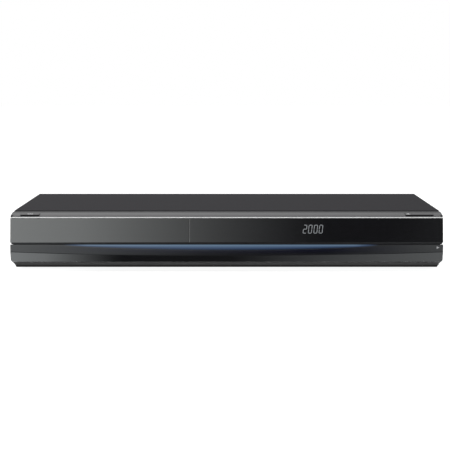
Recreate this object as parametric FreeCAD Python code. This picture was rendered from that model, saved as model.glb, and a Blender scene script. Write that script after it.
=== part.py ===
import FreeCAD, Part
import math
import os

# Full-width disc recorder with a hard disk. Millimetres, +Z up, the front faces -Y.
# The origin is under the middle of the whole object, on the surface that it stands on.
# Depths d are measured back from the front plane of the flap.

# Overall sizes
width = 430.0
height = 59.0
body_depth = 286.0
rear_reach = 9.0
foot_height = 5.6
half_width = width / 2
front_y = -(body_depth + rear_reach) / 2

# Case walls, seams and boards
past = 1.0
sheet = 1.0
wall = 2.0
running_gap = 0.05
cover_front_d = 38.6
chassis_front_d = 16.0
rear_panel_d = body_depth - 2 * sheet
side_inset = 2.0
side_flange = 13.0
cover_low_gap = 0.4
cover_lip = 5.0
floor_z = foot_height + sheet
board_thick = 1.6
board_gap = 5.0
board_z = floor_z + board_gap
board_top_z = board_z + board_thick
pillar_r = 3.0
pillar_in = 5.0

# Slots for air
side_vents = 12
vent_pitch = 8.0
side_vent_wide = 3.0
side_vent_long = 18.0
side_vent_z = 22.0
side_vent_from_back = 126.0
floor_vents = 14
floor_vent_wide = 3.5
floor_vent_long = 37.0
floor_vent_from_back = 61.0
floor_vent_x = -60.0

# Front frame
slope_front_d = 3.4
slope_drop = 3.7
slope_front_z = height - slope_drop
slope_angle = 11.3
slope_steps = 8
shoulder_r = 61.0
frame_step = 0.6
cover_gap = 0.3
wall_front_d = 6.4
subpanel_d = 12.0
subpanel_back_d = subpanel_d + wall
base_front_d = 7.0
base_high = 4.6
base_top_z = foot_height + base_high
base_chamfer = 2.0
skirt_drop = 0.6
base_knee_drop = 2.3
base_knee_z = base_top_z - base_knee_drop
base_end_in = 0.8
base_top_half = half_width - base_end_in
base_knee_in = 2.9
base_knee_half = base_top_half - base_knee_in
base_low_in = 1.4
base_low_half = base_knee_half - base_low_in
sill_rise = 1.0
shelf_low_z = 28.25
shelf_thick = 1.45
shelf_high_z = shelf_low_z + shelf_thick
shelf_front_d = 1.8
shelf_inset = 1.4

# Disc drive
drive_wide = 150.0
drive_side = 14.0
drive_x = -(half_width - drive_side - drive_wide / 2)
drive_right_x = drive_x + drive_wide / 2
drive_front_d = 20.0
drive_long = 184.0
drive_rear_d = drive_front_d + drive_long
drive_low_z = 12.0
drive_high_z = 52.0
drive_wall = 1.5
drive_floor_z = drive_low_z + drive_wall
drive_lip = 15.0
drive_post_r = 4.0
leg_in_x = 12.0
leg_in_d = 10.0
press_r = 30.0
press_rise = 0.8
tray_in = 10.0
tray_wide = drive_wide - 2 * tray_in
tray_front_d = 8.0
tray_long = 168.0
tray_rear_d = tray_front_d + tray_long
tray_low_z = 38.0
tray_thick = 4.0
tray_top_z = tray_low_z + tray_thick
tray_mouth_side = 3.0
tray_mouth_above = 7.0
neck_in = 6.0
rail_thick = 3.0
rail_overlap = 1.5
disc_d = 90.0
disc_r = 61.0
disc_recess = 2.6
lane_wide = 40.0
seam_past_drive = 14.0
seam_x = drive_right_x + seam_past_drive

# Panels and trim
panel_shelf_gap = 0.36
panel_low_z = shelf_high_z + panel_shelf_gap
panel_top_drop = 1.2
panel_top_z = slope_front_z - panel_top_drop
panel_lean = 3.0
panel_thick = 2.4
seam_gap = 0.5
clip_in = 20.0
clip_half = 4.0
clip_rise = 2.0
clip_high = 4.0
trim_gap = 0.2
trim_low_z = panel_top_z + trim_gap
trim_thick = 0.85
trim_proud = 0.3
trim_end_gap = 0.4

# Flap, its hinge and its light guide
flap_top_gap = 0.3
flap_top_z = shelf_low_z - flap_top_gap
flap_bottom_gap = 0.3
flap_bottom_z = base_top_z + flap_bottom_gap
flap_bottom_d = 5.0
flap_thick = 2.5
flap_bend_rise = 1.0
flap_foot_rise = 0.6
smile_end_drop = 7.4
smile_end_z = flap_top_z - smile_end_drop
smile_sag = 3.9
smile_middle_z = smile_end_z - smile_sag
smile_stations = 6
chin_corner = 0.7
hinge_d = 7.0
hinge_rise = 3.2
hinge_z = flap_bottom_z + hinge_rise
hinge_pin_r = 0.9
hinge_boss_r = 2.3
hinge_boss_long = 5.0
ear_in = 4.4
ear_half = 1.0
ear_nose_r = 1.8
ear_gap = 0.4
ear_x = half_width - shelf_inset - ear_in
neck_rise = 6.0
neck_thick = 4.0
neck_bite = 0.5
light_end_in = 37.0
light_half = half_width - light_end_in
light_drop = 6.0
light_thick = 0.8

# Top buttons
button_d = 8.0
button_long = 10.0
button_drop = 1.8
button_front_z = height - button_drop
button_lean = 0.9
button_gap = 0.35
button_skirt = 0.6
button_stem = 3.0
button_stem_r = 2.0
button_travel = 0.8
power_in = 18.8
power_x = -(half_width - power_in)
power_wide = 18.5
eject_in = 22.8
eject_x = half_width - eject_in
eject_wide = 27.6
bracket_half = 9.0
bracket_thick = 1.6
bracket_drop = 14.0
bracket_back_d = 18.0
switch_half = 3.0
switch_gap = 0.1

# Buttons behind the flap
key_past_seam = (1.0, 15.0, 29.0)
key_x = tuple(seam_x + along for along in key_past_seam)
key_z = 20.0
key_wide = 9.0
key_high = 4.0
key_proud = 1.2
key_skirt = 1.0
key_stem = 4.0
key_stem_r = 1.4
key_travel = 0.6

# Front sockets, by their middles
front_socket_z = 19.0
front_socket_in = 0.5
front_socket_d = subpanel_d + front_socket_in
socket_gap = 0.2
tongue_low = 0.6
tongue_thick = 1.2
usb_in = 155.0
usb_x = half_width - usb_in
usb_half = 7.0
usb_tall = 3.2
camera_in = 131.0
camera_x = half_width - camera_in
camera_half = 4.0
camera_tall = 3.2
card_in = 97.0
card_x = half_width - card_in
card_half = 13.2
card_tall = 2.4
socket_wall = 0.9
socket_floor = 2.5
svideo_in = 65.0
svideo_x = half_width - svideo_in
audio_in = (51.0, 39.0, 27.0)
audio_x = tuple(half_width - inward for inward in audio_in)
round_socket_r = 4.2
round_socket_proud = 1.0
round_socket_deep = 7.0
round_hole_r = 1.7
svideo_wall = 0.8
svideo_core_r = 1.6
svideo_core_in = 3.0

# Upright board behind the front frame, and what it carries
front_board_d = 24.0
front_board_past_seam = 9.0
front_board_x0 = seam_x - front_board_past_seam
front_board_side = 13.0
front_board_x1 = half_width - front_board_side
front_board_low_z = 12.0
front_board_high_z = 50.0
board_foot_wide = 6.0
board_foot_in = 10.0
display_in = 129.0
display_x = half_width - display_in
display_z = 43.5
display_wide = 36.0
display_high = 12.0
display_gap = 0.4
display_hole_gap = 1.5
sensor_in = 167.0
sensor_x = half_width - sensor_in
sensor_z = 44.0
sensor_half = 4.0
sensor_deep = 13.0
sensor_lens_r = 3.0
sensor_lens_long = 3.0

# Tray drive: rack, gear, pulleys and belt
tooth_module = 1.0
pinion_teeth = 16
gear_backlash = 0.35
tooth_tip = 0.9 * tooth_module
tooth_root = 1.25 * tooth_module
pressure_angle = 20.0
flank_steps = 4
rack_high = 5.0
rack_in = 6.0
rack_back = 4.0
rack_front_gap = 6.0
rack_rear_gap = 3.0
loading_d = 34.0
pulley_spread = 38.0
pulley_r = 12.0
motor_pulley_r = 4.0
pulley_rim = 1.0
groove_high = 2.4
belt_thick = 1.2
belt_high = 1.8
belt_slack = 0.1
pulley_low_z = 28.0
pinion_low_z = pulley_low_z + 2 * pulley_rim + groove_high
pinion_high = 5.0
axle_gap = 0.4
motor_shaft_r = 1.0
motor_shaft_long = 8.0
loading_motor_r = 10.0
motor_top_gap = 0.6

# Traverse, under the disc
plate_z = 26.0
plate_thick = 2.0
plate_top_z = plate_z + plate_thick
plate_wide = 92.0
plate_front_d = 62.0
plate_long = 112.0
plate_rear_d = plate_front_d + plate_long
bush_high = 2.0
bush_in = 6.0
spindle_r = 1.5
spindle_motor_r = 12.0
spindle_motor_high = 12.0
spindle_motor_top_z = 30.0
motor_flange = 4.0
motor_flange_thick = 1.5
motor_hole_gap = 0.3
turntable_r = 14.0
turntable_thick = 2.0
turntable_top_z = 40.6
cone_low_r = 7.3
cone_high_r = 6.0
cone_high = 1.8
rod_r = 1.5
rod_spread = 48.0
rod_z = 31.0
screw_r = 1.4
screw_out = 30.0
screw_x = drive_x + screw_out
sled_long = 22.0
sled_start_d = 112.0
sled_travel = 34.0
sled_low = 2.4
sled_high = 3.4
sled_side = 3.5
sled_window_half = 17.0
sled_window_gap = 2.0
lens_r = 3.2
lens_high = 1.8
rod_stop_before = 8.0
rod_stop_d = sled_start_d - rod_stop_before
rod_stop_thick = 4.0
rod_stop_side = 4.0
rod_stop_above = 3.5
sled_motor_r = 6.0
sled_motor_long = 15.0
screw_in_motor = 6.0

# Clamp
clamper_r = 14.0
clamper_lift = 3.8
clamper_low_z = turntable_top_z + clamper_lift
clamper_thick = 2.2
clamper_neck_r = 5.4
clamper_cap_r = 8.0
clamper_cap_thick = 1.0
clamper_rest_gap = 0.5
bridge_drop = 4.8
bridge_low_z = drive_high_z - bridge_drop
bridge_thick = 1.5
bridge_half = 20.0
bridge_hole_play = 0.5
bridge_hole_r = clamper_neck_r + bridge_hole_play

# Board of the drive
drive_board_left = 36.0
drive_board_right = 60.0
drive_board_front_d = 120.0
drive_board_long = 76.0
drive_board_z = 14.6
drive_board_thick = 1.4
drive_chips = ((-20.0, 20.0, 20.0), (10.0, 20.0, 14.0))
chip_high = 1.6
stand_r = 2.0
stand_in = 5.0

# Hard drive
disk_wide = 101.6
disk_past_drive = 9.2
disk_x = drive_right_x + disk_past_drive + disk_wide / 2
disk_long = 147.0
disk_high = 26.1
disk_front_d = 62.0
disk_low_z = 16.0
disk_rear_d = disk_front_d + disk_long
disk_lid_high = 3.0
disk_lid_z = disk_low_z + disk_high - disk_lid_high
disk_lid_thick = 2.2
disk_lid_in = 1.0
disk_ring_in = 52.0
disk_ring_d = disk_front_d + disk_ring_in
disk_ring_r = 40.0
disk_ring_rise = 0.8
disk_board_in = 3.0
disk_board_start = 40.0
disk_board_end = 7.0
rail_in = 10.0
rail_high = 18.0
bracket_sheet = 1.2
bracket_foot = 7.0

# Main board and power board
main_past_disk = 8.2
main_x0 = disk_x + disk_wide / 2 + main_past_disk
main_side = 7.0
main_x1 = half_width - main_side
main_d0 = 44.0
main_back = 4.0
main_d1 = rear_panel_d - main_back
power_side = 9.0
power_x0 = -(half_width - power_side)
power_past_drive = 3.0
power_x1 = drive_right_x + power_past_drive
power_front = 6.0
power_d0 = drive_rear_d + power_front
power_back = 6.0
power_d1 = rear_panel_d - power_back
power_long = power_d1 - power_d0

# Parts of the power board, from its front left corner; capacitors as x, row, radius, height
winding_out = 4.0
transformer_x = 72.0
transformer_d = 14.0
transformer_wide = 34.0
transformer_long = power_long - 2 * transformer_d - winding_out
transformer_high = 26.0
winding_in = 6.0
capacitors = ((46.0, 2, 11.0, 30.0), (120.0, 1, 5.0, 20.0), (120.0, 2, 5.0, 20.0),
              (120.0, 3, 5.0, 20.0), (134.0, 1, 4.0, 15.0), (134.0, 2, 4.0, 15.0))
capacitor_rows = 5
power_sink_x = 60.0
power_sink_d = 6.0
power_fin_in = 2.0
power_sink_long = power_long - 2 * power_sink_d
power_sink_high = 28.0
power_sink_thick = 3.0
power_fin_long = 6.5
power_fin_thick = 1.6
power_fin_pitch = 6.0

# Parts of the main board, from its front left corner
processor_x = 42.0
processor_d = 76.0
processor_size = 32.0
processor_high = 2.4
memory_places = ((16.0, 68.0), (16.0, 86.0), (16.0, 104.0), (84.0, 76.0), (84.0, 96.0))
memory_wide = 14.0
memory_long = 10.0
memory_high = 1.4
sink_base = 2.0
sink_high = 12.0
sink_fins = 7
sink_fin_pitch = 5.0
sink_fin_thick = 1.4
battery_side = 18.0
battery_x = main_x1 - main_x0 - battery_side
battery_d = 26.0
battery_r = 10.0
battery_high = 5.0
small_capacitors = 6
small_capacitor_x = 22.0
small_capacitor_d = 48.0
small_capacitor_pitch = 12.0
small_capacitor_r = 3.2
small_capacitor_high = 10.0
tuner_long = 44.0
tuner_wide = 48.0
tuner_side = 2.0
tuner_high_z = 50.0
tuner_back = 18.0
tuner_rear_d = rear_panel_d - tuner_back

# Fan
fan_x = -22.0
fan_z = 32.0
fan_size = 40.0
fan_deep = 10.0
fan_bore_r = 18.4
fan_tip_r = 17.8
fan_hub_r = 9.0
fan_blades = 7
blade_lean = 35.0
blade_thick = 1.0
blade_half = 4.0
strut_thick = 1.4
strut_half = 1.2
strut_turns = (90.0, 210.0, 330.0)
hub_gap = 0.8
grille_holes = 5
grille_pitch = 7.0
grille_hole_r = 2.6

# Rear sockets, by their middles
rear_gap = 0.4
socket_deep = 16.0
socket_front_d = rear_panel_d - socket_deep
aerial_in = (43.0, 23.0)
aerial_x = tuple(half_width - inward for inward in aerial_in)
aerial_z = 40.0
aerial_r = 4.9
aerial_collar_r = 5.8
aerial_hole_r = 2.2
block_in = (121.0, 73.0)
block_x = tuple(half_width - inward for inward in block_in)
block_z = 44.0
block_half = 23.0
block_tall = 7.0
block_root = 1.2
block_front_d = rear_panel_d - block_root
block_out = 9.0
block_back_d = rear_panel_d + block_out
block_mouth_half = 21.0
block_mouth_tall = 5.2
block_slant = 3.0
block_bar_in = 4.0
block_bar_tall = 1.0
block_bar_short = 2.0
riser_thick = 3.8
riser_low_z = 28.0
riser_above = 7.4
riser_high_z = block_z + riser_above
riser_leg_in = (89.0, 59.0)
riser_leg_x = tuple(half_width - inward for inward in riser_leg_in)
riser_leg_wide = 4.0
component_in = (139.0, 127.0, 115.0)
component_x = tuple(half_width - inward for inward in component_in)
component_z = 20.0
component_side = 6.2
component_high_z = 26.6
component_hole_r = 5.2
component_out = 10.0
round_pin_r = 4.15
rear_low_z = 18.0
hdmi_in = 99.0
hdmi_x = half_width - hdmi_in
hdmi_half = 7.6
hdmi_tall = 3.1
hdmi_wall = 0.7
hdmi_mouth_deep = 10.0
hdmi_stand_long = 12.0
hdmi_out = 8.0
hdmi_back_d = rear_panel_d + hdmi_out
network_in = 69.0
network_x = half_width - network_in
network_half = 8.0
network_high = 11.2
network_wall = 2.1
network_mouth_low = 2.6
network_mouth_high = 7.0
network_mouth_deep = 13.0
network_out = 7.0
network_back_d = rear_panel_d + network_out
optical_in = 47.0
optical_x = half_width - optical_in
optical_half = 4.8
optical_wall = 1.8
optical_mouth_deep = 6.0
optical_out = 6.0
optical_back_d = rear_panel_d + optical_out
inlet_in = 29.0
inlet_x = -(half_width - inlet_in)
inlet_z = 26.0
inlet_half = 10.0
inlet_tall = 7.0
inlet_long = 28.0
inlet_body_long = 16.0
inlet_out = 6.0
inlet_back_d = rear_panel_d + inlet_out
inlet_mouth_r = 4.0
inlet_pin_x = 3.6
inlet_pin_r = 1.2
inlet_mouth_deep = 14.0
inlet_pin_in = 2.0

# Ribbon cables
ribbon_thick = 0.6
ribbon_fold = 0.9
front_ribbon_from_disk = 40.2
front_ribbon_x = disk_x + disk_wide / 2 + front_ribbon_from_disk
front_ribbon_wide = 30.0
front_ribbon_z = 24.0
front_ribbon_reach = 14.4
front_ribbon_drop = 8.0
tray_ribbon_d = 178.0
tray_ribbon_wide = 20.0
tray_ribbon_z = 46.0
tray_ribbon_before = 4.0
tray_ribbon_drop = 12.0
disk_ribbon_in = 15.0
disk_ribbon_x = disk_x + disk_ribbon_in
disk_ribbon_wide = 14.0
disk_ribbon_z = 24.0
disk_ribbon_thick = 1.0
disk_ribbon_end = 3.0
disk_ribbon_onto = 14.0
disk_ribbon_long = 6.0

# Screws of the cover
screw_play = 0.3
side_screw_front = 70.0
side_screw_back = 36.0
side_screw_d = (side_screw_front, body_depth - side_screw_back)
side_screw_z = 14.0
side_screw_r = 1.6
side_screw_long = 6.0
rear_screw_in = 25.0
rear_screw_x = (-(half_width - rear_screw_in), 0.0, half_width - rear_screw_in)
rear_screw_drop = 3.4
rear_screw_z = height - rear_screw_drop
rear_screw_r = 1.3
rear_head_r = 3.0
rear_head_thick = 1.4

# Feet
foot_r = 19.0
foot_in = 39.0
foot_x = half_width - foot_in
foot_front = 78.0
foot_back = 28.0
foot_d = (foot_front, body_depth - foot_back)
foot_rim = 0.6
pad_r = 14.0
pad_thick = 1.2


def depth(d):
    """The Y of a place at depth d behind the front plane."""
    return front_y + d


def block(x0, x1, d0, d1, z0, z1):
    """A box between two X values, two depths and two heights."""
    corner = FreeCAD.Vector(x0, depth(d0), z0)
    return Part.makeBox(x1 - x0, d1 - d0, z1 - z0, corner)


def side_block(side, inner_x, outer_x, d0, d1, z0, z1):
    """A box on one side, between two distances from the middle."""
    low, high = sorted((side * inner_x, side * outer_x))
    return block(low, high, d0, d1, z0, z1)


def upright(x, d, z0, z1, radius):
    """A round pillar on a vertical axis."""
    foot = FreeCAD.Vector(x, depth(d), z0)
    return Part.makeCylinder(radius, z1 - z0, foot, FreeCAD.Vector(0, 0, 1))


def along_depth(x, z, d0, d1, radius):
    """A round bar that runs from front to back."""
    foot = FreeCAD.Vector(x, depth(d0), z)
    return Part.makeCylinder(radius, d1 - d0, foot, FreeCAD.Vector(0, 1, 0))


def side_bar(side, inner_x, outer_x, d, z, radius):
    """A round bar on one side that runs from left to right, by distances from the middle."""
    low, high = sorted((side * inner_x, side * outer_x))
    foot = FreeCAD.Vector(low, depth(d), z)
    return Part.makeCylinder(radius, high - low, foot, FreeCAD.Vector(1, 0, 0))


def profile_wire(points, x):
    """A closed wire of (depth, height) points, standing at one X."""
    corners = [FreeCAD.Vector(x, depth(d), z) for d, z in points]
    return Part.makePolygon(corners + [corners[0]])


def profile_bar(points, x0, x1):
    """A (depth, height) outline carried from one X to another."""
    face = Part.Face(profile_wire(points, x0))
    return face.extrude(FreeCAD.Vector(x1 - x0, 0, 0))


def front_plate(points, d0, d1):
    """An (x, height) outline carried from one depth to another."""
    corners = [FreeCAD.Vector(x, depth(d0), z) for x, z in points]
    face = Part.Face(Part.makePolygon(corners + [corners[0]]))
    return face.extrude(FreeCAD.Vector(0, d1 - d0, 0))


def flat_plate(points, z0, z1):
    """An (x, depth) outline, as thick as from one height to another."""
    corners = [FreeCAD.Vector(x, depth(d), z0) for x, d in points]
    face = Part.Face(Part.makePolygon(corners + [corners[0]]))
    return face.extrude(FreeCAD.Vector(0, 0, z1 - z0))


def join(shapes):
    """One solid out of several that touch."""
    whole = shapes[0].fuse(shapes[1:]) if len(shapes) > 1 else shapes[0]
    return whole.removeSplitter()


def save(name, shapes):
    """Write one node from one solid or several separate ones."""
    group = shapes if isinstance(shapes, list) else [shapes]
    whole = group[0] if len(group) == 1 else Part.makeCompound(group)
    os.makedirs("parts", exist_ok=True)
    whole.exportStep("parts/" + name + ".step")


def slope_outline():
    """Points of the frame's top from the trim back to the cover, with its round shoulder."""
    angle = math.radians(slope_angle)
    frame_top = height - frame_step
    line_rise = frame_top - slope_front_z - shoulder_r * (1 - math.cos(angle))
    start_d = slope_front_d + line_rise / math.tan(angle)
    points = [(slope_front_d, slope_front_z)]
    for step in range(slope_steps + 1):
        turn = angle * (1 - step / slope_steps)
        d = start_d + shoulder_r * (math.sin(angle) - math.sin(turn))
        z = frame_top - shoulder_r * (1 - math.cos(turn))
        points.append((d, z))
    points.append((cover_front_d - cover_gap, frame_top))
    return points


def slope_z(d):
    """Height of the frame's top at depth d."""
    outline = slope_outline()
    for (d0, z0), (d1, z1) in zip(outline, outline[1:]):
        if d0 <= d <= d1:
            return z0 + (z1 - z0) * (d - d0) / (d1 - d0)
    return height - frame_step


def front_frame():
    """The moulding behind the panels: sloped top, front wall, shelf, sub-panel and base strip."""
    top = slope_outline()
    lip_z = trim_low_z + trim_thick
    under = [(d, z - wall) for d, z in reversed(top) if d > wall_front_d]
    under += [(wall_front_d, lip_z), (slope_front_d, lip_z)]
    shelf_half = half_width - shelf_inset
    base_low_z = base_top_z - base_chamfer
    skirt_low_z = foot_height - skirt_drop
    base = [(base_front_d, skirt_low_z), (base_front_d, base_low_z),
            (base_front_d + base_chamfer, base_top_z),
            (subpanel_back_d, base_top_z), (subpanel_back_d, skirt_low_z)]
    pieces = [profile_bar(top + under, -half_width, half_width),
              block(-half_width, half_width, wall_front_d, wall_front_d + wall,
                    shelf_low_z, slope_front_z),
              block(-shelf_half, shelf_half, shelf_front_d, subpanel_back_d, shelf_low_z, shelf_high_z),
              block(-shelf_half, shelf_half, subpanel_d, subpanel_back_d, foot_height, shelf_high_z),
              profile_bar(base, -base_top_half, base_top_half)]
    for side in (-1, 1):
        pieces += frame_side(side)
    return join(pieces).cut(frame_openings() + [base_end_cut(-1), base_end_cut(1)])


def frame_side(side):
    """One end of the frame: upper cheek, lower cheek, sill and hinge ear."""
    rear_d = cover_front_d - cover_gap
    low_half = half_width - shelf_inset
    return [side_block(side, half_width - wall, half_width, wall_front_d, rear_d,
                       shelf_low_z, height - wall),
            side_block(side, low_half - wall, low_half, subpanel_d, rear_d, floor_z, shelf_high_z),
            side_block(side, base_low_half - wall, low_half, subpanel_d, rear_d, floor_z,
                       base_top_z + sill_rise),
            hinge_ear(side * ear_x)]


def base_end_cut(side):
    """What is taken off one lower end of the frame, so that the base strip narrows downward."""
    outer = half_width + past
    skirt_low_z = foot_height - skirt_drop
    low_z = skirt_low_z - past
    outline = [(outer, base_top_z), (base_top_half, base_top_z), (base_knee_half, base_knee_z),
               (base_low_half, skirt_low_z), (base_low_half, low_z), (outer, low_z)]
    return front_plate([(side * x, z) for x, z in outline], base_front_d - past, cover_front_d)


def hinge_ear(x):
    """A hooked lug on the sub-panel that holds one flap hinge pin from above."""
    nose_top = hinge_z + ear_nose_r
    root_d = subpanel_d + neck_bite
    neck = [(hinge_d - ear_nose_r / 2, hinge_z), (hinge_d, nose_top),
            (root_d, nose_top + neck_rise), (root_d, nose_top + neck_rise - neck_thick),
            (hinge_d + ear_nose_r, hinge_z + ear_nose_r / 2), (hinge_d, hinge_z)]
    lug = profile_bar(neck, x - ear_half, x + ear_half)
    nose = side_bar(1, x - ear_half, x + ear_half, hinge_d, hinge_z, ear_nose_r)
    hole = side_bar(1, x - wall, x + wall, hinge_d, hinge_z, hinge_pin_r)
    return lug.fuse(nose).cut(hole)


def wall_hole(x, z, half, tall, front_d):
    """A rectangular cutter through a wall of the frame, by its middle."""
    return block(x - half, x + half, front_d - past, front_d + wall + past, z - tall, z + tall)


def frame_openings():
    """Holes in the frame: tray mouth, display, sensor, top buttons, keys and front sockets."""
    mouth_half = tray_wide / 2 + tray_mouth_side
    mouth_low = tray_low_z - rack_high - tray_mouth_side
    cuts = [block(drive_x - mouth_half, drive_x + mouth_half, wall_front_d - past,
                  wall_front_d + wall + past, mouth_low, tray_top_z + tray_mouth_above),
            wall_hole(sensor_x, sensor_z, sensor_half + past, sensor_half + past, wall_front_d),
            wall_hole(display_x, display_z, display_wide / 2 + display_hole_gap,
                      display_high / 2 + display_hole_gap, wall_front_d)]
    for x, wide in ((power_x, power_wide), (eject_x, eject_wide)):
        half = wide / 2 + button_gap
        cuts.append(block(x - half, x + half, button_d - button_gap,
                          button_d + button_long + button_gap, button_low_z() - wall, height))
    for x in key_x:
        cuts.append(wall_hole(x, key_z, key_wide / 2 + button_gap, key_high / 2 + button_gap, subpanel_d))
    for x, half, tall in ((usb_x, usb_half, usb_tall), (camera_x, camera_half, camera_tall),
                          (card_x, card_half, card_tall)):
        cuts.append(wall_hole(x, front_socket_z, half + socket_gap, tall + socket_gap, subpanel_d))
    for x in (svideo_x,) + audio_x:
        cuts.append(along_depth(x, front_socket_z, subpanel_d - past, subpanel_back_d + past,
                                round_socket_r + button_gap))
    return cuts


def leaning_panel(x0, x1):
    """A glossy panel that leans back towards its top."""
    outline = [(0, panel_low_z), (panel_lean, panel_top_z),
               (panel_lean + panel_thick, panel_top_z), (panel_thick, panel_low_z)]
    return profile_bar(outline, x0, x1)


def display_window():
    """The fixed panel, with two clips that reach the frame's wall."""
    pieces = [leaning_panel(seam_x + seam_gap / 2, half_width)]
    clip_z = panel_low_z + clip_rise
    for x in (seam_x + clip_in, half_width - clip_in):
        pieces.append(block(x - clip_half, x + clip_half, panel_thick, wall_front_d,
                            clip_z, clip_z + clip_high))
    return join(pieces)


def tray_front():
    """The panel on the tray's nose, with the block that it is clipped to."""
    panel = leaning_panel(-half_width, seam_x - seam_gap / 2)
    neck_half = tray_wide / 2 - neck_in
    neck = block(drive_x - neck_half, drive_x + neck_half, panel_lean, tray_front_d,
                 tray_low_z, tray_top_z)
    return join([panel, neck])


def silver_trim():
    """The bright strip under the edge of the sloped top."""
    half = half_width - trim_end_gap
    return block(-half, half, slope_front_d - trim_proud, wall_front_d,
                 trim_low_z, trim_low_z + trim_thick)


def smile_z(x):
    """Height of the curved lower line of the flap's band at X: a parabola."""
    share = x / half_width
    return smile_middle_z + (smile_end_z - smile_middle_z) * share * share


def flap_section(x):
    """The flap's outline at X: flat band above, chin that falls back below."""
    line_z = smile_z(x)
    return [(0, flap_top_z), (0, line_z), (flap_bottom_d, flap_bottom_z),
            (flap_bottom_d + flap_thick, flap_bottom_z + flap_foot_rise),
            (flap_thick, line_z + flap_bend_rise), (flap_thick, flap_top_z)]


def flap_corner(side):
    """What is taken off one lower corner of the flap."""
    low_z = flap_bottom_z - past
    outline = [(half_width, low_z), (half_width - chin_corner * 2, low_z),
               (half_width - chin_corner, flap_bottom_z + flap_foot_rise),
               (half_width, flap_bottom_z + chin_corner * 2)]
    return front_plate([(side * x, z) for x, z in outline], -past, flap_bottom_d + flap_thick + past)


def flap_door():
    """The fold-down flap with two hinge bosses, and a seat for the light guide."""
    stations = [half_width * (2 * step / smile_stations - 1) for step in range(smile_stations + 1)]
    shell = Part.makeLoft([profile_wire(flap_section(x), x) for x in stations], True, False)
    shell = shell.cut([flap_corner(-1), flap_corner(1)])
    boss_out = ear_x - ear_half - ear_gap
    boss_in = boss_out - hinge_boss_long
    bosses = [side_bar(side, boss_in, boss_out, hinge_d, hinge_z, hinge_boss_r) for side in (-1, 1)]
    cuts = [light_guide()]
    for side in (-1, 1):
        cuts.append(side_bar(side, boss_in - past, ear_x, hinge_d, hinge_z, hinge_pin_r + running_gap))
        cuts.append(side_bar(side, boss_out, ear_x + ear_half + ear_gap, hinge_d, hinge_z,
                             ear_nose_r + ear_gap))
    return join([shell] + bosses).cut(cuts)


def light_guide():
    """The clear crescent in the top of the flap: straight above, curved below."""
    left = FreeCAD.Vector(-light_half, depth(0), flap_top_z)
    right = FreeCAD.Vector(light_half, depth(0), flap_top_z)
    low = FreeCAD.Vector(0, depth(0), flap_top_z - light_drop)
    bow = Part.Arc(left, low, right).toShape()
    lid = Part.LineSegment(right, left).toShape()
    return Part.Face(Part.Wire([bow, lid])).extrude(FreeCAD.Vector(0, light_thick, 0))


def hinge_pins():
    """Two steel pins that carry the flap."""
    return [side_bar(side, ear_x - ear_half - hinge_boss_long, ear_x + ear_half, hinge_d, hinge_z,
                     hinge_pin_r) for side in (-1, 1)]


def button_low_z():
    """Height of the underside of a top button's cap."""
    return slope_z(button_d) - wall - button_skirt


def top_button(x, wide):
    """A wedge button that stands proud of the slope at its front, with a stem below."""
    cap_low = button_low_z()
    rear_d = button_d + button_long
    outline = [(button_d, cap_low), (button_d, button_front_z),
               (rear_d, button_front_z + button_lean), (rear_d, cap_low)]
    cap = profile_bar(outline, x - wide / 2, x + wide / 2)
    stem = upright(x, button_d + button_long / 2, cap_low - button_stem, cap_low, button_stem_r)
    return join([cap, stem])


def switch_brackets():
    """Two small brackets behind the front wall, each with the switch of a top button."""
    shelf_z = height - bracket_drop
    switch_top = button_low_z() - button_stem - button_travel - switch_gap
    middle = button_d + button_long / 2
    made = []
    for x in (power_x, eject_x):
        shelf = block(x - bracket_half, x + bracket_half, wall_front_d + wall, bracket_back_d,
                      shelf_z - bracket_thick, shelf_z)
        switch = block(x - switch_half, x + switch_half, middle - switch_half, middle + switch_half,
                       shelf_z, switch_top)
        made.append(join([shelf, switch]))
    return made


def top_cover():
    """The bent steel cover: top, two sides and a rear lip, with slots cut in the sides."""
    inner_half = half_width - sheet
    outer = block(-half_width, half_width, cover_front_d, body_depth, foot_height + cover_low_gap, height)
    inner = block(-inner_half, inner_half, cover_front_d - past, body_depth + past,
                  foot_height - past, height - sheet)
    lip = block(-inner_half, inner_half, body_depth - sheet, body_depth,
                height - sheet - cover_lip, height - sheet)
    cuts = []
    for index in range(side_vents):
        d = body_depth - side_vent_from_back + index * vent_pitch
        cuts.append(block(-half_width - past, half_width + past, d, d + side_vent_wide,
                          side_vent_z, side_vent_z + side_vent_long))
    for x in rear_screw_x:
        cuts.append(along_depth(x, rear_screw_z, body_depth - sheet - past, body_depth + past,
                                rear_screw_r + screw_play))
    for side in (-1, 1):
        for d in side_screw_d:
            cuts.append(side_bar(side, inner_half - past, half_width + past, d, side_screw_z,
                                 side_screw_r))
    return join([outer.cut(inner), lip]).cut(cuts)


def bottom_chassis():
    """The pressed steel tray under everything, with side flanges and board pillars."""
    half = half_width - side_inset
    pieces = [block(-half, half, chassis_front_d, rear_panel_d, foot_height, floor_z)]
    for side in (-1, 1):
        pieces.append(side_block(side, half - sheet, half, cover_front_d, rear_panel_d,
                                 foot_height, foot_height + side_flange))
    for x, d in chassis_pillars():
        pieces.append(upright(x, d, floor_z - sheet / 2, board_z, pillar_r))
    vent_d = body_depth - floor_vent_from_back
    cuts = []
    for index in range(floor_vents):
        x = floor_vent_x + index * vent_pitch
        cuts.append(block(x, x + floor_vent_wide, vent_d, vent_d + floor_vent_long,
                          foot_height - past, floor_z + past))
    for side in (-1, 1):
        for d in side_screw_d:
            cuts.append(side_bar(side, half - sheet - past, half + past, d, side_screw_z, side_screw_r))
    return join(pieces).cut(cuts)


def chassis_pillars():
    """Places of the pillars under the two boards, as (x, depth)."""
    spots = []
    for x0, x1, d0, d1 in ((main_x0, main_x1, main_d0, main_d1),
                           (power_x0, power_x1, power_d0, power_d1)):
        spots += [(x, d) for x in (x0 + pillar_in, x1 - pillar_in) for d in (d0 + pillar_in, d1 - pillar_in)]
    return spots


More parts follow.
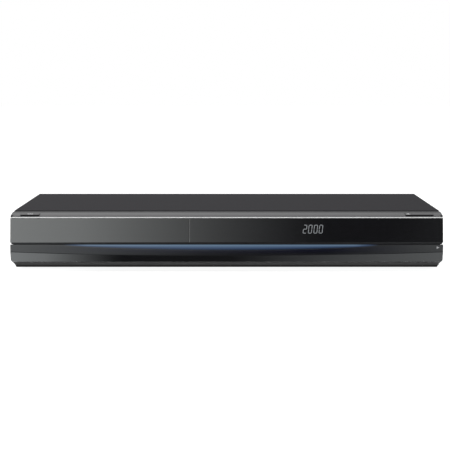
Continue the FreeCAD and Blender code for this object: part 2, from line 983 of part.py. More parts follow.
def rear_hole(x0, x1, z0, z1):
    """A rectangular cutter through the back sheet, a little wider than the socket in it."""
    return block(x0 - rear_gap, x1 + rear_gap, rear_panel_d - past, rear_panel_d + sheet + past,
                 z0 - rear_gap, z1 + rear_gap)


def round_rear_hole(x, z, radius):
    """A round cutter through the back sheet."""
    return along_depth(x, z, rear_panel_d - past, rear_panel_d + sheet + past, radius)


def rear_panel():
    """The back sheet, with a hole for each socket, the fan and the mains inlet."""
    half = half_width - sheet - rear_gap / 2
    plate = block(-half, half, rear_panel_d, rear_panel_d + sheet, foot_height,
                  height - sheet - rear_gap / 4)
    cuts = [round_rear_hole(x, aerial_z, aerial_collar_r + rear_gap) for x in aerial_x]
    cuts += [round_rear_hole(x, component_z, component_hole_r) for x in component_x]
    cuts += [round_rear_hole(x, rear_screw_z, rear_screw_r) for x in rear_screw_x]
    for x in block_x:
        cuts.append(rear_hole(x - block_half, x + block_half, block_z - block_tall, block_z + block_tall))
    cuts.append(rear_hole(hdmi_x - hdmi_half, hdmi_x + hdmi_half, rear_low_z - hdmi_tall,
                          rear_low_z + hdmi_tall))
    cuts.append(rear_hole(network_x - network_half, network_x + network_half, board_top_z,
                          board_top_z + network_high))
    cuts.append(rear_hole(optical_x - optical_half, optical_x + optical_half, board_top_z,
                          board_top_z + optical_half * 2))
    cuts.append(rear_hole(inlet_x - inlet_half, inlet_x + inlet_half, inlet_z - inlet_tall,
                          inlet_z + inlet_tall))
    reach = grille_pitch * (grille_holes - 1) / 2
    for row in range(grille_holes):
        for column in range(grille_holes):
            cuts.append(round_rear_hole(fan_x - reach + column * grille_pitch,
                                        fan_z - reach + row * grille_pitch, grille_hole_r))
    return plate.cut(cuts)


def feet():
    """Four round feet under the chassis, each with a socket for its pad."""
    made = []
    for x in (-foot_x, foot_x):
        for d in foot_d:
            foot = upright(x, d, pad_thick - foot_rim, foot_height, foot_r)
            made.append(foot.cut(upright(x, d, 0, pad_thick, pad_r)))
    return made


def foot_pads():
    """Four rubber pads under the feet, which the object stands on."""
    return [upright(x, d, 0, pad_thick, pad_r) for x in (-foot_x, foot_x) for d in foot_d]


def gear_outline(middle_x, middle_d):
    """Points round a spur gear with involute flanks, one gap facing -X."""
    pressure = math.radians(pressure_angle)
    pitch_r = tooth_module * pinion_teeth / 2
    base_r = pitch_r * math.cos(pressure)
    root_r = pitch_r - tooth_root
    tip_r = pitch_r + tooth_tip
    half_tooth = (math.pi * tooth_module / 2 - gear_backlash / 2) / (2 * pitch_r)
    lean_at_pitch = math.tan(pressure) - pressure
    flank = []
    for step in range(flank_steps + 1):
        radius = base_r + (tip_r - base_r) * step / flank_steps
        slant = math.acos(base_r / radius)
        flank.append((radius, half_tooth + lean_at_pitch - (math.tan(slant) - slant)))
    tooth = [(root_r, -flank[0][1])] + [(r, -a) for r, a in flank]
    tooth += [(r, a) for r, a in reversed(flank)] + [(root_r, flank[0][1])]
    pitch_angle = 2 * math.pi / pinion_teeth
    points = []
    for index in range(pinion_teeth):
        centre = math.pi + pitch_angle * (index + 0.5)
        for radius, angle in tooth:
            turn = centre + angle
            points.append((middle_x + radius * math.cos(turn), middle_d + radius * math.sin(turn)))
    return points


def rack_pitch_x():
    """X of the rack's pitch line, near the tray's left edge."""
    return drive_x - tray_wide / 2 + rack_in


def gear_x():
    """X of the loading gear's axis."""
    return rack_pitch_x() + tooth_module * pinion_teeth / 2


def loading_motor_x():
    """X of the loading motor's axis."""
    return gear_x() + pulley_spread


def tray_rack():
    """The toothed bar under the tray, its teeth towards +X, in mesh with the loading gear."""
    start_d = loading_d - rack_front_gap
    end_d = tray_rear_d - rack_rear_gap
    pitch = math.pi * tooth_module
    half_tooth = pitch / 4 - gear_backlash / 4
    slant = math.tan(math.radians(pressure_angle))
    line = rack_pitch_x()
    root_x = line - tooth_root
    tip_x = line + tooth_tip
    back_x = line - rack_back
    first = math.ceil((start_d - loading_d) / pitch)
    last = math.floor((end_d - loading_d) / pitch)
    low = half_tooth + tooth_root * slant
    high = half_tooth - tooth_tip * slant
    points = [(back_x, start_d - pitch / 2), (root_x, start_d - pitch / 2)]
    for index in range(first, last + 1):
        centre = loading_d + index * pitch
        points += [(root_x, centre - low), (tip_x, centre - high),
                   (tip_x, centre + high), (root_x, centre + low)]
    points += [(root_x, end_d + pitch / 2), (back_x, end_d + pitch / 2)]
    return flat_plate(points, tray_low_z - rack_high, tray_low_z)


def disc_tray():
    """The sliding tray: disc recess, slot for the turntable, and the rack below."""
    half = tray_wide / 2
    lane = lane_wide / 2
    plate = block(drive_x - half, drive_x + half, tray_front_d, tray_rear_d, tray_low_z, tray_top_z)
    recess = upright(drive_x, disc_d, tray_top_z - disc_recess, tray_top_z + past, disc_r)
    well = upright(drive_x, disc_d, tray_low_z - past, tray_top_z + past, lane)
    slot = block(drive_x - lane, drive_x + lane, disc_d, tray_rear_d + past,
                 tray_low_z - past, tray_top_z + past)
    return join([plate.cut([recess, well, slot]), tray_rack()])


def pulley(x, radius):
    """A grooved pulley: two rims and the smaller round that the belt runs on."""
    groove_z = pulley_low_z + pulley_rim
    upper_z = groove_z + groove_high
    return [upright(x, loading_d, pulley_low_z, groove_z, radius),
            upright(x, loading_d, groove_z, upper_z, radius - belt_thick - belt_slack),
            upright(x, loading_d, upper_z, upper_z + pulley_rim, radius)]


def loading_gear():
    """The pinion under the tray, in one piece with the large belt pulley."""
    x = gear_x()
    pinion = flat_plate(gear_outline(x, loading_d), pinion_low_z, pinion_low_z + pinion_high)
    bore = upright(x, loading_d, pulley_low_z - past, pinion_low_z + pinion_high + past,
                   spindle_r + running_gap)
    return join(pulley(x, pulley_r) + [pinion]).cut(bore)


def motor_pulley():
    """The small pulley on the loading motor, with its shaft."""
    x = loading_motor_x()
    shaft = upright(x, loading_d, pulley_low_z - motor_shaft_long, pulley_low_z, motor_shaft_r)
    return join([shaft] + pulley(x, motor_pulley_r))


def loading_motor():
    """The can of the tray motor, standing on the drive's floor."""
    x = loading_motor_x()
    can = upright(x, loading_d, drive_floor_z, pulley_low_z - motor_top_gap, loading_motor_r)
    return can.cut(upright(x, loading_d, pulley_low_z - motor_shaft_long - past, pulley_low_z,
                           motor_shaft_r + running_gap))


def belt_outline(grow):
    """A closed wire round both pulleys, the given distance outside the belt's inner face."""
    big = pulley_r - belt_thick + grow
    small = motor_pulley_r - belt_thick + grow
    x0 = gear_x()
    x1 = loading_motor_x()
    lean = math.acos((big - small) / (x1 - x0))
    level = pulley_low_z + pulley_rim + (groove_high - belt_high) / 2

    def at(x, radius, turn):
        """A point on one pulley."""
        return FreeCAD.Vector(x + radius * math.cos(turn), depth(loading_d) + radius * math.sin(turn),
                              level)

    edges = [Part.Arc(at(x0, big, lean), at(x0, big, math.pi), at(x0, big, -lean)).toShape(),
             Part.LineSegment(at(x0, big, -lean), at(x1, small, -lean)).toShape(),
             Part.Arc(at(x1, small, -lean), at(x1, small, 0), at(x1, small, lean)).toShape(),
             Part.LineSegment(at(x1, small, lean), at(x0, big, lean)).toShape()]
    return Part.Wire(edges)


def loading_belt():
    """The rubber belt from the motor's pulley to the large one."""
    outer = Part.Face(belt_outline(belt_thick - 2 * belt_slack))
    inner = Part.Face(belt_outline(0))
    return outer.cut(inner).extrude(FreeCAD.Vector(0, 0, belt_high))


def drive_base():
    """The open box of the drive: floor, low front, side rails, legs and posts."""
    x0 = drive_x - drive_wide / 2
    x1 = drive_x + drive_wide / 2
    top = drive_high_z - sheet
    pieces = [block(x0, x1, drive_front_d, drive_rear_d, drive_low_z, drive_floor_z),
              block(x0, x0 + drive_wall, drive_front_d, drive_rear_d, drive_low_z, top),
              block(x1 - drive_wall, x1, drive_front_d, drive_rear_d, drive_low_z, top),
              block(x0, x1, drive_rear_d - drive_wall, drive_rear_d, drive_low_z, top),
              block(x0, x1, drive_front_d, drive_front_d + drive_wall, drive_low_z,
                    drive_low_z + drive_lip)]
    ledge = (drive_wide - tray_wide) / 2 + rail_overlap
    rail_top = tray_low_z - running_gap
    rail_low = rail_top - rail_thick
    pieces.append(block(x0, x0 + ledge, drive_front_d, drive_rear_d, rail_low, rail_top))
    pieces.append(block(x1 - ledge, x1, drive_front_d, drive_rear_d, rail_low, rail_top))
    for x in (x0 + leg_in_x, x1 - leg_in_x):
        for d in (drive_front_d + leg_in_d, drive_rear_d - leg_in_d):
            pieces.append(upright(x, d, floor_z, drive_low_z, drive_post_r))
    for x, d in traverse_corners():
        pieces.append(upright(x, d, drive_floor_z, plate_z - bush_high, drive_post_r))
    shoulder_z = pulley_low_z - axle_gap
    pieces.append(upright(gear_x(), loading_d, drive_floor_z, shoulder_z, drive_post_r))
    pieces.append(upright(gear_x(), loading_d, shoulder_z, pinion_low_z + pinion_high, spindle_r))
    return join(pieces)


def traverse_corners():
    """The four places where the traverse stands on its bushes."""
    half = plate_wide / 2 - bush_in
    return [(drive_x + side * half, d) for side in (-1, 1)
            for d in (plate_front_d + bush_in, plate_rear_d - bush_in)]


def traverse_bushes():
    """Rubber bushes between the drive's posts and the traverse."""
    return [upright(x, d, plate_z - bush_high, plate_z, drive_post_r) for x, d in traverse_corners()]


def rod_places():
    """X of the two guide rods."""
    return [drive_x + side * rod_spread / 2 for side in (-1, 1)]


def traverse_plate():
    """The steel plate that carries the spindle motor, the rods and the pickup's screw."""
    half = plate_wide / 2
    pieces = [block(drive_x - half, drive_x + half, plate_front_d, plate_rear_d, plate_z, plate_top_z)]
    for d in (rod_stop_d, plate_rear_d - rod_stop_thick):
        pieces.append(block(rod_places()[0] - rod_stop_side, screw_x + rod_stop_side, d,
                            d + rod_stop_thick, plate_top_z - plate_thick / 4, rod_z + rod_stop_above))
    window_end = sled_start_d + sled_travel + sled_long - 2 * sled_window_gap
    cuts = [upright(drive_x, disc_d, plate_z - past, plate_top_z + past,
                    spindle_motor_r + motor_hole_gap),
            block(drive_x - sled_window_half, drive_x + sled_window_half,
                  sled_start_d - sled_window_gap, window_end, plate_z - past, plate_top_z + past)]
    for x in rod_places():
        cuts.append(along_depth(x, rod_z, rod_stop_d - past, plate_rear_d + past, rod_r))
    cuts.append(along_depth(screw_x, rod_z, rod_stop_d - past, plate_rear_d + past,
                            screw_r + running_gap))
    return join(pieces).cut(cuts)


def spindle_motor():
    """The flat motor under the turntable, flanged to the traverse."""
    can_low = spindle_motor_top_z - spindle_motor_high
    can = upright(drive_x, disc_d, can_low, spindle_motor_top_z, spindle_motor_r)
    flange = upright(drive_x, disc_d, plate_z - motor_flange_thick, plate_z,
                     spindle_motor_r + motor_flange)
    return join([can, flange]).cut(upright(drive_x, disc_d, can_low - past,
                                           spindle_motor_top_z + past, spindle_r + running_gap))


def turntable():
    """The turntable with its centring cone and the motor's spindle."""
    plate_low = turntable_top_z - turntable_thick
    shaft = upright(drive_x, disc_d, spindle_motor_top_z - spindle_motor_high + past, plate_low,
                    spindle_r)
    plate = upright(drive_x, disc_d, plate_low, turntable_top_z, turntable_r)
    foot = FreeCAD.Vector(drive_x, depth(disc_d), turntable_top_z)
    cone = Part.makeCone(cone_low_r, cone_high_r, cone_high, foot, FreeCAD.Vector(0, 0, 1))
    return join([shaft, plate, cone])


def clamper():
    """The floating clamp over the turntable, hung in the bridge by its cap."""
    top = clamper_low_z + clamper_thick
    cap_low = bridge_low_z + bridge_thick + clamper_rest_gap
    return join([upright(drive_x, disc_d, clamper_low_z, top, clamper_r),
                 upright(drive_x, disc_d, top, cap_low, clamper_neck_r),
                 upright(drive_x, disc_d, cap_low, cap_low + clamper_cap_thick, clamper_cap_r)])


def clamp_bridge():
    """The bar across the drive that holds the clamp."""
    half = drive_wide / 2 - drive_wall
    bridge_top = bridge_low_z + bridge_thick
    bar = block(drive_x - half, drive_x + half, disc_d - bridge_half, disc_d + bridge_half,
                bridge_low_z, bridge_top)
    return bar.cut(upright(drive_x, disc_d, bridge_low_z - past, bridge_top + past, bridge_hole_r))


def drive_cover():
    """The lid of the drive, with its pressed round in the middle."""
    half = drive_wide / 2
    lid = block(drive_x - half, drive_x + half, drive_front_d, drive_rear_d,
                drive_high_z - sheet, drive_high_z)
    return join([lid, upright(drive_x, disc_d, drive_high_z, drive_high_z + press_rise, press_r)])


def optical_pickup():
    """The pickup's sled, which slides on two rods and is drawn by the lead screw."""
    sled_end = sled_start_d + sled_long
    sled = block(rod_places()[0] - sled_side, screw_x + sled_side, sled_start_d, sled_end,
                 rod_z - sled_low, rod_z + sled_high)
    cuts = [along_depth(x, rod_z, sled_start_d - past, sled_end + past, rod_r + running_gap)
            for x in rod_places()]
    cuts.append(along_depth(screw_x, rod_z, sled_start_d - past, sled_end + past,
                            screw_r + running_gap))
    return sled.cut(cuts)


def pickup_lens():
    """The lens on top of the sled."""
    sled_top = rod_z + sled_high
    return upright(drive_x, sled_start_d + sled_long / 2, sled_top, sled_top + lens_high, lens_r)


def guide_rods():
    """Two polished rods for the sled."""
    return [along_depth(x, rod_z, rod_stop_d, plate_rear_d, rod_r) for x in rod_places()]


def lead_screw():
    """The screw that draws the sled, with its end in the sled motor."""
    return along_depth(screw_x, rod_z, rod_stop_d, plate_rear_d + screw_in_motor, screw_r)


def sled_motor():
    """The small motor behind the traverse that turns the lead screw."""
    can = along_depth(screw_x, rod_z, plate_rear_d, plate_rear_d + sled_motor_long, sled_motor_r)
    return can.cut(along_depth(screw_x, rod_z, plate_rear_d - past,
                               plate_rear_d + screw_in_motor + past, screw_r + running_gap))


def drive_board():
    """The drive's own circuit board under the traverse, with its chips and stands."""
    x0 = drive_x - drive_board_left
    x1 = drive_x + drive_board_right
    d1 = drive_board_front_d + drive_board_long
    top = drive_board_z + drive_board_thick
    pieces = [block(x0, x1, drive_board_front_d, d1, drive_board_z, top)]
    for chip_x, chip_in, size in drive_chips:
        pieces.append(block(drive_x + chip_x, drive_x + chip_x + size, drive_board_front_d + chip_in,
                            drive_board_front_d + chip_in + size, top, top + chip_high))
    for x in (x0 + stand_in * 3, x1 - stand_in):
        for d in (drive_board_front_d + stand_in * 2, d1 - stand_in):
            pieces.append(upright(x, d, drive_floor_z, drive_board_z, stand_r))
    holes = [upright(x, d, drive_board_z - past, top + past, drive_post_r + rear_gap)
             for x, d in traverse_corners()]
    return join(pieces).cut(holes)


def hard_drive_body():
    """The cast body of the hard drive."""
    half = disk_wide / 2
    return block(disk_x - half, disk_x + half, disk_front_d, disk_rear_d,
                 disk_low_z + board_thick, disk_lid_z)


def hard_drive_cover():
    """The steel lid of the hard drive."""
    half = disk_wide / 2 - disk_lid_in
    lid_top = disk_lid_z + disk_lid_thick
    lid = block(disk_x - half, disk_x + half, disk_front_d + disk_lid_in, disk_rear_d - disk_lid_in,
                disk_lid_z, lid_top)
    return join([lid, upright(disk_x, disk_ring_d, lid_top, lid_top + disk_ring_rise, disk_ring_r)])


def hard_drive_board():
    """The circuit board under the hard drive."""
    half = disk_wide / 2 - disk_board_in
    start_d = disk_front_d + disk_board_start
    return block(disk_x - half, disk_x + half, start_d, disk_rear_d - disk_board_end,
                 disk_low_z, disk_low_z + board_thick)


def hard_drive_bracket():
    """The steel cradle: two side rails and their feet on the chassis."""
    half = disk_wide / 2
    d0 = disk_front_d + rail_in
    d1 = disk_rear_d - rail_in
    made = []
    for side in (-1, 1):
        places = [disk_x + side * (half + out) for out in (0, bracket_sheet, bracket_foot)]
        rail = block(min(places[:2]), max(places[:2]), d0, d1, floor_z, disk_low_z + rail_high)
        foot = block(min(places), max(places), d0, d1, floor_z, floor_z + bracket_sheet)
        made.append(join([rail, foot]))
    return made


def power_board():
    """The mains board on its pillars."""
    return block(power_x0, power_x1, power_d0, power_d1, board_z, board_top_z)


def power_transformer():
    """The power supply's transformer: a wound core in a block."""
    x0 = power_x0 + transformer_x
    x1 = x0 + transformer_wide
    d0 = power_d0 + transformer_d
    d1 = d0 + transformer_long
    core = block(x0, x1, d0, d1, board_top_z, board_top_z + transformer_high)
    winding = block(x0 + winding_in, x1 - winding_in, d0 - winding_out, d1 + winding_out,
                    board_top_z + winding_out, board_top_z + transformer_high - winding_out)
    return join([core, winding])


def power_capacitors():
    """The electrolytic capacitors on the mains board."""
    row_pitch = power_long / capacitor_rows
    return [upright(power_x0 + x, power_d0 + row * row_pitch, board_top_z, board_top_z + tall, radius)
            for x, row, radius, tall in capacitors]


def power_heat_sink():
    """The finned heat sink of the power supply."""
    x0 = power_x0 + power_sink_x
    d0 = power_d0 + power_sink_d
    top = board_top_z + power_sink_high
    back_x = x0 + power_sink_thick
    pieces = [block(x0, back_x, d0, d0 + power_sink_long, board_top_z, top)]
    for index in range(int(power_sink_long / power_fin_pitch)):
        fin_d = d0 + power_fin_in + index * power_fin_pitch
        pieces.append(block(back_x - past, back_x + power_fin_long, fin_d, fin_d + power_fin_thick,
                            board_top_z, top))
    return join(pieces)


def main_board():
    """The main circuit board on its pillars."""
    return block(main_x0, main_x1, main_d0, main_d1, board_z, board_top_z)


def processor_box(low, high):
    """A square block over the processor's place, between two heights above the board."""
    x0 = main_x0 + processor_x
    d0 = main_d0 + processor_d
    return block(x0, x0 + processor_size, d0, d0 + processor_size, board_top_z + low, board_top_z + high)


def main_chips():
    """Processor and memory on the main board."""
    chips = [processor_box(0, processor_high)]
    for x, d in memory_places:
        chips.append(block(main_x0 + x, main_x0 + x + memory_wide, main_d0 + d,
                           main_d0 + d + memory_long, board_top_z, board_top_z + memory_high))
    return chips


def main_heat_sink():
    """The finned heat sink on the processor."""
    x0 = main_x0 + processor_x
    fins = []
    for index in range(sink_fins):
        fin_d = main_d0 + processor_d + index * sink_fin_pitch
        fins.append(block(x0, x0 + processor_size, fin_d, fin_d + sink_fin_thick,
                          board_top_z + processor_high, board_top_z + processor_high + sink_high))
    return join([processor_box(processor_high, processor_high + sink_base)] + fins)


def clock_battery():
    """The coin cell that keeps the clock."""
    return upright(main_x0 + battery_x, main_d0 + battery_d, board_top_z, board_top_z + battery_high,
                   battery_r)


def main_capacitors():
    """Small capacitors along the main board."""
    return [upright(main_x0 + small_capacitor_x + index * small_capacitor_pitch,
                    main_d0 + small_capacitor_d, board_top_z, board_top_z + small_capacitor_high,
                    small_capacitor_r) for index in range(small_capacitors)]


def tuner_can():
    """The screened tuner box behind the aerial sockets."""
    x1 = main_x1 - tuner_side
    return block(x1 - tuner_wide, x1, tuner_rear_d - tuner_long, tuner_rear_d, board_top_z, tuner_high_z)


def front_board():
    """The upright board behind the front frame, with its feet and the keys' switches."""
    back = front_board_d + board_thick
    pieces = [block(front_board_x0, front_board_x1, front_board_d, back,
                    front_board_low_z, front_board_high_z)]
    for x in (front_board_x0 + board_foot_in, front_board_x1 - board_foot_in - board_foot_wide):
        pieces.append(block(x, x + board_foot_wide, front_board_d, back, floor_z, front_board_low_z))
    switch_d = subpanel_back_d + key_stem + key_travel + switch_gap
    for x in key_x:
        pieces.append(block(x - switch_half, x + switch_half, switch_d, front_board_d,
                            key_z - switch_half, key_z + switch_half))
    return join(pieces)


def front_key(x):
    """One small button behind the flap."""
    cap = block(x - key_wide / 2, x + key_wide / 2, subpanel_d - key_proud,
                subpanel_back_d + key_skirt, key_z - key_high / 2, key_z + key_high / 2)
    stem = along_depth(x, key_z, subpanel_back_d, subpanel_back_d + key_stem, key_stem_r)
    return join([cap, stem])


def display_module():
    """The clock display, held on the front board just behind the window."""
    return block(display_x - display_wide / 2, display_x + display_wide / 2,
                 wall_front_d + display_gap, front_board_d,
                 display_z - display_high / 2, display_z + display_high / 2)


def remote_sensor():
    """The remote-control sensor, with its round lens towards the window."""
    body_d = front_board_d - sensor_deep
    body = block(sensor_x - sensor_half, sensor_x + sensor_half, body_d, front_board_d,
                 sensor_z - sensor_half, sensor_z + sensor_half)
    lens = along_depth(sensor_x, sensor_z, body_d - sensor_lens_long, body_d, sensor_lens_r)
    return join([body, lens])


def front_socket(x, half, tall):
    """A box socket behind the flap with a rectangular mouth."""
    body = block(x - half, x + half, front_socket_d, front_board_d,
                 front_socket_z - tall, front_socket_z + tall)
    mouth_half = half - socket_wall
    mouth_tall = tall - socket_wall
    return body.cut(block(x - mouth_half, x + mouth_half, front_socket_d - past,
                          front_board_d - socket_floor, front_socket_z - mouth_tall,
                          front_socket_z + mouth_tall))


def tongue(x, z, half, d0, d1):
    """The contact tongue inside a socket."""
    return block(x - half, x + half, d0, d1, z + tongue_low, z + tongue_low + tongue_thick)


def usb_socket():
    """The flat data socket behind the flap, with its tongue."""
    blade = tongue(usb_x, front_socket_z, usb_half - 2 * socket_wall, front_socket_d + wall,
                   front_board_d - socket_floor + past)
    return join([front_socket(usb_x, usb_half, usb_tall), blade])


def round_jack(x):
    """A round front socket with its centre hole."""
    front_d = subpanel_d - round_socket_proud
    body = along_depth(x, front_socket_z, front_d, front_board_d, round_socket_r)
    return body.cut(along_depth(x, front_socket_z, front_d - past, subpanel_d + round_socket_deep,
                                round_hole_r))


def svideo_socket():
    """The round camera-lead socket behind the flap, with a wide mouth."""
    body = along_depth(svideo_x, front_socket_z, subpanel_d, front_board_d, round_socket_r)
    mouth = along_depth(svideo_x, front_socket_z, subpanel_d - past, subpanel_d + round_socket_deep,
                        round_socket_r - svideo_wall)
    core = along_depth(svideo_x, front_socket_z, subpanel_d + svideo_core_in, front_board_d,
                       svideo_core_r)
    return join([body.cut(mouth), core])


def aerial_sockets():
    """The two screened aerial barrels on the back of the tuner, each with its collar."""
    rear_d = body_depth + rear_reach
    made = []
    for x in aerial_x:
        collar = along_depth(x, aerial_z, tuner_rear_d, body_depth, aerial_collar_r)
        barrel = along_depth(x, aerial_z, body_depth - past, rear_d, aerial_r)
        hole = along_depth(x, aerial_z, body_depth, rear_d + past, aerial_hole_r)
        made.append(join([collar, barrel]).cut(hole))
    return made


def socket_riser():
    """The upright board that carries the two block sockets."""
    riser_d = block_front_d - riser_thick
    pieces = [block(block_x[0] - block_half, block_x[-1] + block_half, riser_d, block_front_d,
                    riser_low_z, riser_high_z)]
    for x in riser_leg_x:
        pieces.append(block(x, x + riser_leg_wide, riser_d, riser_d + sheet, board_top_z, riser_low_z))
    return join(pieces)


def block_socket(x):
    """One wide block socket with its slanted-end mouth."""
    body = block(x - block_half, x + block_half, block_front_d, block_back_d,
                 block_z - block_tall, block_z + block_tall)
    low_right = x + block_mouth_half - block_slant
    mouth = front_plate([(x - block_mouth_half, block_z - block_mouth_tall),
                         (low_right, block_z - block_mouth_tall),
                         (x + block_mouth_half, block_z + block_mouth_tall),
                         (x - block_mouth_half, block_z + block_mouth_tall)],
                        rear_panel_d, block_back_d + past)
    bar = block(x - block_mouth_half + block_bar_in, low_right - block_bar_in,
                rear_panel_d - past, block_back_d - block_bar_short,
                block_z - block_bar_tall, block_z + block_bar_tall)
    return join([body.cut(mouth), bar])


def component_sockets():
    """Three round video sockets in one body on the main board."""
    pieces = [block(component_x[0] - component_side, component_x[-1] + component_side,
                    socket_front_d, rear_panel_d, board_top_z, component_high_z)]
    rear_d = rear_panel_d + component_out
    for x in component_x:
        pieces.append(along_depth(x, component_z, rear_panel_d - past, rear_d, round_pin_r))
    holes = [along_depth(x, component_z, rear_panel_d, rear_d + past, round_hole_r)
             for x in component_x]
    return join(pieces).cut(holes)


def digital_video_socket():
    """The flat digital video socket, with its tongue and its stand."""
    shell = block(hdmi_x - hdmi_half, hdmi_x + hdmi_half, socket_front_d, hdmi_back_d,
                  rear_low_z - hdmi_tall, rear_low_z + hdmi_tall)
    mouth_half = hdmi_half - hdmi_wall
    mouth_tall = hdmi_tall - hdmi_wall
    mouth_d = hdmi_back_d - hdmi_mouth_deep
    mouth = block(hdmi_x - mouth_half, hdmi_x + mouth_half, mouth_d, hdmi_back_d + past,
                  rear_low_z - mouth_tall, rear_low_z + mouth_tall)
    stand = block(hdmi_x - hdmi_half, hdmi_x + hdmi_half, socket_front_d,
                  socket_front_d + hdmi_stand_long, board_top_z, rear_low_z - mouth_tall)
    blade = tongue(hdmi_x, rear_low_z, mouth_half - wall / 2, mouth_d - past, hdmi_back_d - wall)
    return join([shell.cut(mouth), stand, blade])


def network_socket():
    """The network socket."""
    body = block(network_x - network_half, network_x + network_half, socket_front_d, network_back_d,
                 board_top_z, board_top_z + network_high)
    mouth_half = network_half - network_wall
    mouth_low = board_top_z + network_mouth_low
    return body.cut(block(network_x - mouth_half, network_x + mouth_half,
                          network_back_d - network_mouth_deep, network_back_d + past,
                          mouth_low, mouth_low + network_mouth_high))


def optical_socket():
    """The square optical sound socket."""
    body = block(optical_x - optical_half, optical_x + optical_half, socket_front_d, optical_back_d,
                 board_top_z, board_top_z + optical_half * 2)
    mouth_half = optical_half - optical_wall
    middle_z = board_top_z + optical_half
    return body.cut(block(optical_x - mouth_half, optical_x + mouth_half,
                          optical_back_d - optical_mouth_deep, optical_back_d + past,
                          middle_z - mouth_half, middle_z + mouth_half))


def mains_inlet():
    """The two-pin mains inlet with its rounded mouth."""
    x0 = inlet_x - inlet_half
    x1 = inlet_x + inlet_half
    body_d = inlet_back_d - inlet_long
    mouth_d = inlet_back_d - inlet_mouth_deep
    body = block(x0, x1, body_d, body_d + inlet_body_long, board_top_z, inlet_z + inlet_tall)
    nose = block(x0, x1, body_d + inlet_body_long - past, inlet_back_d,
                 inlet_z - inlet_tall, inlet_z + inlet_tall)
    cuts = [block(inlet_x - inlet_pin_x, inlet_x + inlet_pin_x, mouth_d, inlet_back_d + past,
                  inlet_z - inlet_mouth_r, inlet_z + inlet_mouth_r)]
    pins = []
    for side in (-1, 1):
        x = inlet_x + side * inlet_pin_x
        cuts.append(along_depth(x, inlet_z, mouth_d, inlet_back_d + past, inlet_mouth_r))
        pins.append(along_depth(x, inlet_z, mouth_d - past, inlet_back_d - inlet_pin_in, inlet_pin_r))
    return join([join([body, nose]).cut(cuts)] + pins)


def about_fan(shape, turn):
    """A shape turned about the fan's axis."""
    shape.rotate(FreeCAD.Vector(fan_x, 0, fan_z), FreeCAD.Vector(0, 1, 0), turn)
    return shape


def fan_frame():
    """The square fan housing with three struts and the hub plate."""
    half = fan_size / 2
    front_d = rear_panel_d - fan_deep
    strut_d = rear_panel_d - strut_thick
    body = block(fan_x - half, fan_x + half, front_d, rear_panel_d, fan_z - half, fan_z + half)
    body = body.cut(along_depth(fan_x, fan_z, front_d - past, rear_panel_d + past, fan_bore_r))
    pieces = [body, along_depth(fan_x, fan_z, strut_d, rear_panel_d, fan_hub_r)]
    for turn in strut_turns:
        strut = block(fan_x, fan_x + fan_bore_r + wall / 4, strut_d, rear_panel_d,
                      fan_z - strut_half, fan_z + strut_half)
        pieces.append(about_fan(strut, turn))
    return join(pieces).cut(along_depth(fan_x, fan_z, strut_d - past, rear_panel_d + past,
                                        spindle_r + running_gap))


def fan_rotor():
    """The fan's hub with its slanted blades and shaft."""
    front_d = rear_panel_d - fan_deep + past
    back_d = rear_panel_d - strut_thick - hub_gap
    middle_d = (front_d + back_d) / 2
    pieces = [along_depth(fan_x, fan_z, front_d, back_d, fan_hub_r),
              along_depth(fan_x, fan_z, back_d - past, rear_panel_d - rear_gap / 2, spindle_r)]
    room = along_depth(fan_x, fan_z, front_d - past, back_d + hub_gap, fan_tip_r)
    for index in range(fan_blades):
        blade = block(fan_x + fan_hub_r - past, fan_x + fan_tip_r, middle_d - blade_thick / 2,
                      middle_d + blade_thick / 2, fan_z - blade_half, fan_z + blade_half)
        blade.rotate(FreeCAD.Vector(fan_x, depth(middle_d), fan_z), FreeCAD.Vector(1, 0, 0), blade_lean)
        pieces.append(about_fan(blade, math.degrees(2 * math.pi * index / fan_blades)).common(room))
    return join(pieces)


def front_ribbon():
    """The flat cable from the front board to the main board."""
    back = front_board_d + board_thick
    fold_d = back + front_ribbon_reach
    end_d = fold_d + front_ribbon_drop
    top = front_ribbon_z + ribbon_thick
    outline = [(back, front_ribbon_z), (fold_d, front_ribbon_z), (end_d, board_top_z),
               (end_d + ribbon_fold, board_top_z), (fold_d + ribbon_fold / 2, top), (back, top)]
    return profile_bar(outline, front_ribbon_x, front_ribbon_x + front_ribbon_wide)


def tray_ribbon():
    """The flat cable from the disc drive to the main board, over the hard drive."""
    side = drive_x + drive_wide / 2
    fold_x = main_x0 - tray_ribbon_before
    end_x = fold_x + tray_ribbon_drop
    top = tray_ribbon_z + ribbon_thick
    outline = [(side, tray_ribbon_z), (fold_x, tray_ribbon_z), (end_x, board_top_z),
               (end_x + ribbon_fold, board_top_z), (fold_x + ribbon_fold / 2, top), (side, top)]
    return front_plate(outline, tray_ribbon_d, tray_ribbon_d + tray_ribbon_wide)


def disk_ribbon():
    """The flat cable from the hard drive to the main board."""
    high = disk_ribbon_z + disk_ribbon_thick
    turn_d = disk_rear_d + disk_ribbon_end
    end_d = turn_d + disk_ribbon_long
    end_x = main_x0 + disk_ribbon_onto
    return join([block(disk_ribbon_x, disk_ribbon_x + disk_ribbon_wide, disk_rear_d, turn_d,
                       disk_ribbon_z, high),
                 block(disk_ribbon_x, end_x, turn_d, end_d, disk_ribbon_z, high),
                 block(end_x - disk_ribbon_end, end_x, turn_d, end_d, board_top_z, high)])


def cover_screws():
    """Screws of the cover: three at the back and two in each side."""
    made = []
    for x in rear_screw_x:
        shank = along_depth(x, rear_screw_z, rear_panel_d - wall, body_depth, rear_screw_r)
        head = along_depth(x, rear_screw_z, body_depth, body_depth + rear_head_thick, rear_head_r)
        made.append(join([shank, head]))
    for side in (-1, 1):
        for d in side_screw_d:
            made.append(side_bar(side, half_width - side_screw_long, half_width, d, side_screw_z,
                                 side_screw_r))
    return made


